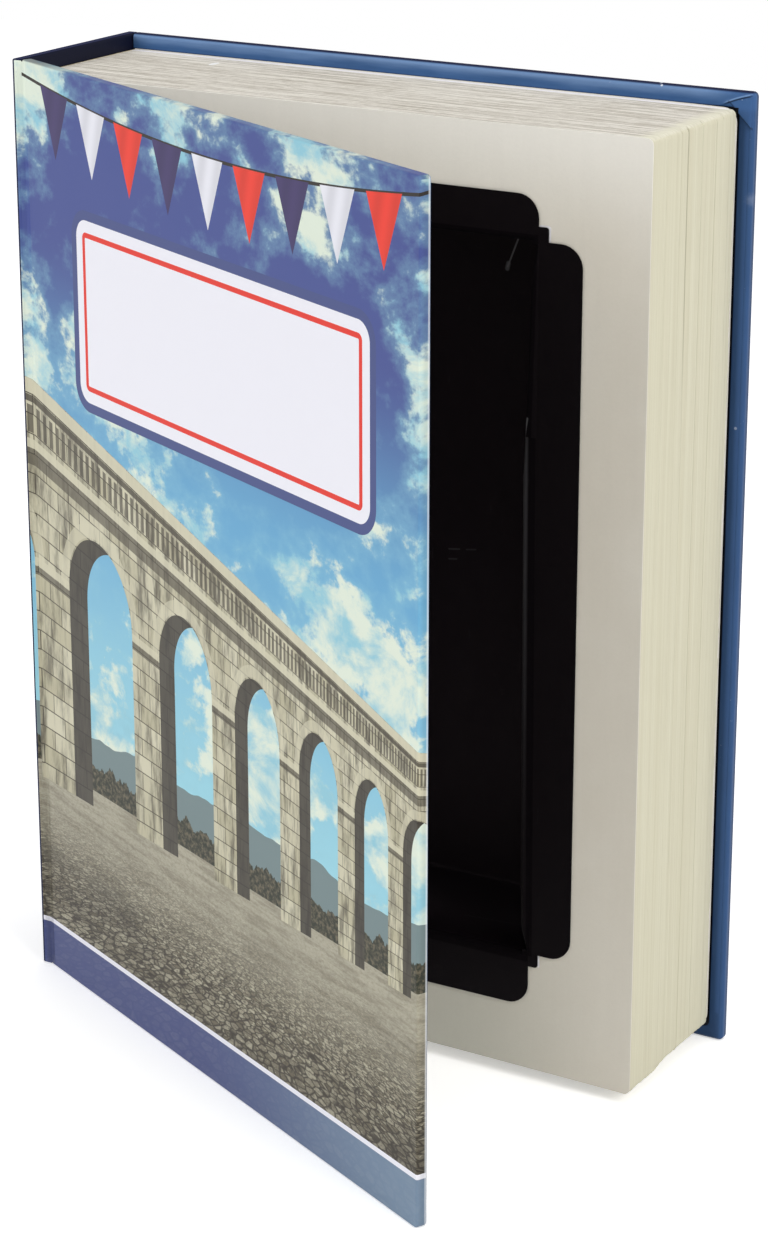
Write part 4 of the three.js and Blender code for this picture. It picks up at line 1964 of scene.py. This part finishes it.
@dataclass
class CavityLiner(Assembly):
    """Black sheet folded into a tray with four glued-down flaps."""

    corner_radius: float = 5.5 * MM
    corner_steps: int = 8
    setback: float = 0.6 * MM
    wall_inset: float = 0.7 * MM
    sheet: float = 0.34 * MM
    fold_radius: float = 0.9 * MM
    fold_steps: int = 5
    tab_reach: float = 2.6 * MM
    tab_length: float = 3.4 * MM
    tab_radius: float = 0.7 * MM
    tab_inner: float = 1.5 * MM
    tab_lift: float = 0.02 * MM
    notch_height: float = 130.4 * MM
    notch_step: float = 0.5 * MM
    notch_run: float = 0.9 * MM
    lean_head: float = 1.0 * MM
    lean_notch: float = 2.2 * MM
    lean_fall: float = 1.0 * MM
    lean_run: float = 6.0 * MM
    lean_cuts: int = 14
    end_cuts: Pair = (2.2 * MM, 4.4 * MM)
    lip_reach: float = 6.0 * MM
    lip_overlap: float = 0.05 * MM

    def __post_init__(self) -> None:
        """Takes the window from the book."""
        self.left, self.face, self.foot = self.book.window_low
        self.right, self.floor, self.head = self.book.window_high
        self.notch = self.foot + self.notch_height

    def _lean(self, z: float) -> float:
        """How far the fore wall's upper edge leans into the hollow.

        Args:
            z: the height.

        Returns:
            The distance.
        """
        if z > self.notch:
            share = (self.head - z) / (self.head - self.notch)
            lean = self.lean_head + (self.lean_notch - self.lean_head) * share
        else:
            share = (self.notch - z) / (self.notch - self.foot)
            lean = self.lean_notch + self.notch_step - self.lean_fall * share
        nearest = min(z - self.foot - self.wall_inset, self.head - self.wall_inset - z)
        return lean * min(1.0, max(0.0, nearest - self.fold_radius) / self.lean_run)

    def _tray(self) -> Shape:
        """Builds the floor and walls, facing the hollow, with a rounded lip on each side.

        Returns:
            The open tray.
        """
        inset = self.wall_inset
        low = Vector((self.left + inset, self.face + self.fold_radius, self.foot + inset))
        high = Vector((self.right - inset, self.floor, self.head - inset))
        bm = block(low, high)
        bmesh.ops.reverse_faces(bm, faces=bm.faces[:])
        bm.normal_update()
        mouth = [face for face in bm.faces if face.calc_center_median().y < low.y + TINY]
        bmesh.ops.delete(bm, geom=mouth, context="FACES")
        round_off(bm, lambda edge: len(edge.link_faces) == 2, self.fold_radius, segments=4)
        span = high.z - low.z
        levels = [low.z + span * (cut + 0.5) / self.lean_cuts for cut in range(self.lean_cuts)]
        levels += [self.notch, self.notch + self.notch_run]
        levels += [low.z + cut for cut in self.end_cuts] + [high.z - cut for cut in self.end_cuts]
        for level in levels:
            cut_across(bm, 2, level)
        for vert in bm.verts:
            if vert.co.y < low.y + TINY and vert.co.x > high.x - TINY:
                vert.co.x -= self._lean(vert.co.z)
        for axis in (0, 2):
            for side, wall in ((1.0, high[axis]), (-1.0, low[axis])):
                self._lip(bm, axis, side, wall, low.y)
        return bm

    def _lip(self, bm: Shape, axis: int, side: float, wall: float, mouth: float) -> None:
        """Curls one wall's upper edge over towards the page.

        Args:
            bm: the tray.
            axis: 0 for the fore-edge and spine walls, 2 for the head and foot walls.
            side: 1 or -1, which of the two.
            wall: where the wall stands.
            mouth: depth of its upper edge.
        """
        other = 2 - axis
        edges = []
        for edge in bm.edges:
            a, b = (vert.co for vert in edge.verts)
            at_mouth = len(edge.link_faces) == 1 and max(abs(a.y - mouth), abs(b.y - mouth)) < TINY
            beside = max(abs(a[axis] - wall), abs(b[axis] - wall)) < self.lip_reach
            if at_mouth and beside and abs(a[other] - b[other]) > abs(a[axis] - b[axis]):
                edges.append(edge)
        turns = [QUARTER * step / self.fold_steps for step in range(self.fold_steps + 1)]
        for before, now in zip(turns, turns[1:]):
            move = Vector((0.0, -self.fold_radius * (math.sin(now) - math.sin(before)), 0.0))
            move[axis] = side * self.fold_radius * (math.cos(before) - math.cos(now))
            edges, moved = self._grow(bm, edges)
            bmesh.ops.translate(bm, vec=move, verts=moved)
        edges, moved = self._grow(bm, edges)
        for vert in moved:
            vert.co[axis] = wall + side * (self.fold_radius + self.lip_overlap)

    @staticmethod
    def _grow(bm: Shape, edges: list[Edge]) -> tuple[list[Edge], list[bmesh.types.BMVert]]:
        """Extrudes a row of edges.

        Args:
            bm: the shape.
            edges: the row.

        Returns:
            The new row and its points.
        """
        grown = bmesh.ops.extrude_edge_only(bm, edges=edges)["geom"]
        moved = [item for item in grown if isinstance(item, bmesh.types.BMVert)]
        fresh = set(moved)
        lines = [item for item in grown if isinstance(item, Edge)]
        return [line for line in lines if fresh.issuperset(line.verts)], moved

    def _leaf(
        self, bm: Shape, across: Pair, up: Pair, out: Pair, radius: float, lift: float = 0.0
    ) -> None:
        """Adds a flat sheet with its outer corners rounded.

        Args:
            bm: the liner.
            across, up: where it starts and ends.
            out: which way its outer corners lie, across and up, with 0 for both ways.
            radius: their radius.
            lift: how far it lies behind the liner's face.
        """
        sheet = bmesh.new()
        middle = Vector((sum(across) / 2, self.face + lift, sum(up) / 2))
        size = Matrix.Diagonal((across[1] - across[0], up[1] - up[0], 1, 1))
        place = Matrix.Translation(middle) @ Matrix.Rotation(QUARTER, 4, "X") @ size
        bmesh.ops.create_grid(sheet, x_segments=1, y_segments=1, size=0.5, matrix=place)

        def outer(vert: bmesh.types.BMVert) -> bool:
            """Whether a corner is one of the outer ones."""
            away = vert.co - middle
            return away.x * out[0] >= 0 and away.z * out[1] >= 0

        round_off(sheet, outer, radius, self.corner_steps, corners=True)
        face_along(sheet, -1.0)
        mesh = bpy.data.meshes.new("leaf")
        sheet.to_mesh(mesh)
        sheet.free()
        bm.from_mesh(mesh)
        bpy.data.meshes.remove(mesh)

    def build(self) -> None:
        """Builds the tray, its flaps and its corner tabs."""
        bm = self._tray()
        start = self.fold_radius - self.wall_inset
        book, width = self.book, (self.left, self.right)
        side_low, side_high = self.foot + self.setback, self.head - self.setback
        sides = (side_low, side_high)
        for across, up, out in (
            (width, (self.head + start, self.head + book.flap_head), (0, 1)),
            (width, (self.foot - book.flap_foot, self.foot - start), (0, -1)),
            ((self.right + start, self.right + book.flap_side), sides, (1, 0)),
            ((self.left - book.flap_side, self.left - start), sides, (-1, 0)),
        ):
            self._leaf(bm, across, up, out, self.corner_radius)
        for edge, right in ((self.right, 1), (self.left, -1)):
            across = sorted((edge - right * self.tab_inner, edge + right * self.tab_reach))
            for end, flap, upper in ((self.head, side_high, 1), (self.foot, side_low, -1)):
                up = sorted((end - upper * self.tab_inner, flap + upper * self.tab_length))
                self._leaf(bm, across, up, (right, upper), self.tab_radius, self.tab_lift)
        self.add(
            bm,
            "folded_liner",
            (Coat.BLACK,),
            Coat.BLACK,
            replaced="cavity_liner",
            wall=self.sheet,
            sharp_degrees=50.0,
            even=True,
        )


@dataclass(frozen=True)
class Lamp:
    """A soft square lamp, in metres and watts."""

    name: str
    place: Place
    size: float
    power: float
    colour: Place = (1.0, 1.0, 1.0)

    def light(self, aim: Place) -> None:
        """Adds the lamp to the scene.

        Args:
            aim: what it points at.
        """
        lamp = bpy.data.lights.new(self.name, "AREA")
        lamp.shape = "SQUARE"
        lamp.size = self.size
        lamp.energy = self.power
        lamp.color = self.colour
        holder = bpy.data.objects.new(self.name, lamp)
        holder.location = self.place
        way = Vector(aim) - Vector(self.place)
        holder.rotation_euler = way.to_track_quat("-Z", "Y").to_euler()
        bpy.context.scene.collection.objects.link(holder)


@dataclass
class Studio:
    """Pale floor, soft lamps and the camera at the photograph's angle."""

    book: BookFrame
    azimuth: float = 30.617
    elevation: float = 18.74
    distance: float = 820.9 * MM
    aim_across: float = 105.36 * MM
    aim_height: float = 111.57 * MM
    focal_pixels: float = 3412.0
    sensor: float = 36.0
    clip: Pair = (0.01, 50.0)
    floor_size: float = 1.3
    floor_colour: Colour = srgb(250, 250, 250)
    floor_roughness: float = 0.9
    glow: float = 0.42
    lamp_aim: Place = (0.09, 0.0, 0.12)
    lamps: tuple[Lamp, ...] = (
        Lamp("key", (1.65, -0.5, 1.3), 1.0, 19.0, (1.0, 0.985, 0.96)),
        Lamp("fill", (-1.1, -1.6, 0.9), 1.4, 15.2, (0.97, 0.985, 1.0)),
        Lamp("top", (0.1, 0.3, 1.9), 1.2, 9.0),
    )

    def _floor(self) -> None:
        """Builds a pale floor that keeps a soft shadow and shows about white to the camera."""
        bm = bmesh.new()
        bmesh.ops.create_grid(bm, x_segments=1, y_segments=1, size=self.floor_size)
        graph = Graph(bpy.data.materials.new("floor"))
        material = graph.surface(
            Base_Color=self.floor_colour,
            Roughness=self.floor_roughness,
            Emission_Color=WHITE,
            Emission_Strength=graph.seen() * self.glow,
        )
        solid_from(bm, "floor", [material])

    def _world(self) -> None:
        """Builds a pale room that shows white behind the book."""
        graph = Graph(bpy.data.worlds.new("studio"))
        room, backdrop = (
            graph.node("ShaderNodeBackground", {}, {"Color": WHITE, "Strength": strength})
            for strength in (self.glow, 1.0)
        )
        chosen = graph.node("ShaderNodeMixShader", {}, {0: graph.seen(), 1: room, 2: backdrop})
        graph.add("ShaderNodeOutputWorld", {}, {"Surface": chosen})
        bpy.context.scene.world = graph.owner

    def _camera(self) -> None:
        """Stands the camera where the photograph was taken from."""
        azimuth, elevation = math.radians(self.azimuth), math.radians(self.elevation)
        level = math.cos(elevation)
        across, away = math.sin(azimuth) * level, -math.cos(azimuth) * level
        back = Vector((across, away, math.sin(elevation)))
        corner = self.book.spine[0]
        aim = Vector((corner.x + self.aim_across, corner.y, self.aim_height))
        data = bpy.data.cameras.new("camera")
        data.sensor_fit = "VERTICAL"
        data.sensor_height = self.sensor
        data.lens = self.sensor * self.focal_pixels / IMAGE_HEIGHT
        data.clip_start, data.clip_end = self.clip
        camera = bpy.data.objects.new("camera", data)
        camera.location = aim + back * self.distance
        camera.rotation_euler = (-back).to_track_quat("-Z", "Y").to_euler()
        bpy.context.scene.collection.objects.link(camera)
        bpy.context.scene.camera = camera

    def build(self) -> None:
        """Builds the floor, the lamps, the world and the camera."""
        self._floor()
        for lamp in self.lamps:
            lamp.light(self.lamp_aim)
        self._world()
        self._camera()


def dress(material: bpy.types.Material, *nodes: str) -> None:
    """Gives CAD nodes a finish.

    Args:
        material: the finish.
        nodes: the nodes' names.
    """
    for name in nodes:
        for slot in frame["nodes"][name].material_slots:
            slot.material = material
        log.info("dressed %s in %s", name, material.name)


def main() -> None:
    """Builds the book's pieces, its finishes and the studio."""
    bpy.context.scene.view_settings.view_transform = "Standard"
    book = BookFrame()
    palette = mix_palette()
    dress(palette[Coat.BOARD], "front_board", "back_board", "spine_board")
    dress(palette[Coat.GLUE], "spine_glue")
    dress(palette[Coat.CLOTH], "spine_lining")

    turned = Matrix.Translation(book.hinge) @ Matrix.Rotation(-book.open_angle, 4, "Z")
    Cover(
        book,
        palette,
        Side.FRONT,
        Body.FRONT_COVER,
        turned @ Matrix.Translation((0.0, book.outset, 0.0)),
        start=book.hinge.x - book.spine[1].x,
        reach=book.back[1].x - book.hinge.x,
        outer=Coat.PRINTED,
        inner_radius=0.5 * MM,
        pleat_layer=0.05 * MM,
        pleat_ridge=0.06 * MM,
        pleat_facet=0.0,
    ).build()
    Cover(
        book,
        palette,
        Side.BACK,
        Body.BOOK,
        Matrix.Translation((0.0, book.back[1].y, 0.0)) @ Matrix.Diagonal((1.0, -1.0, 1.0, 1.0)),
        start=book.back[0].x,
        reach=book.back[1].x,
        outer=Coat.BLUE,
        margin=5.5 * MM,
        endpaper_thickness=0.05 * MM,
    ).build()
    for assembly in (SpinePanel, PageBlock, CavityLiner):
        assembly(book, palette).build()
    Studio(book).build()


if __name__ == "__main__":
    main()
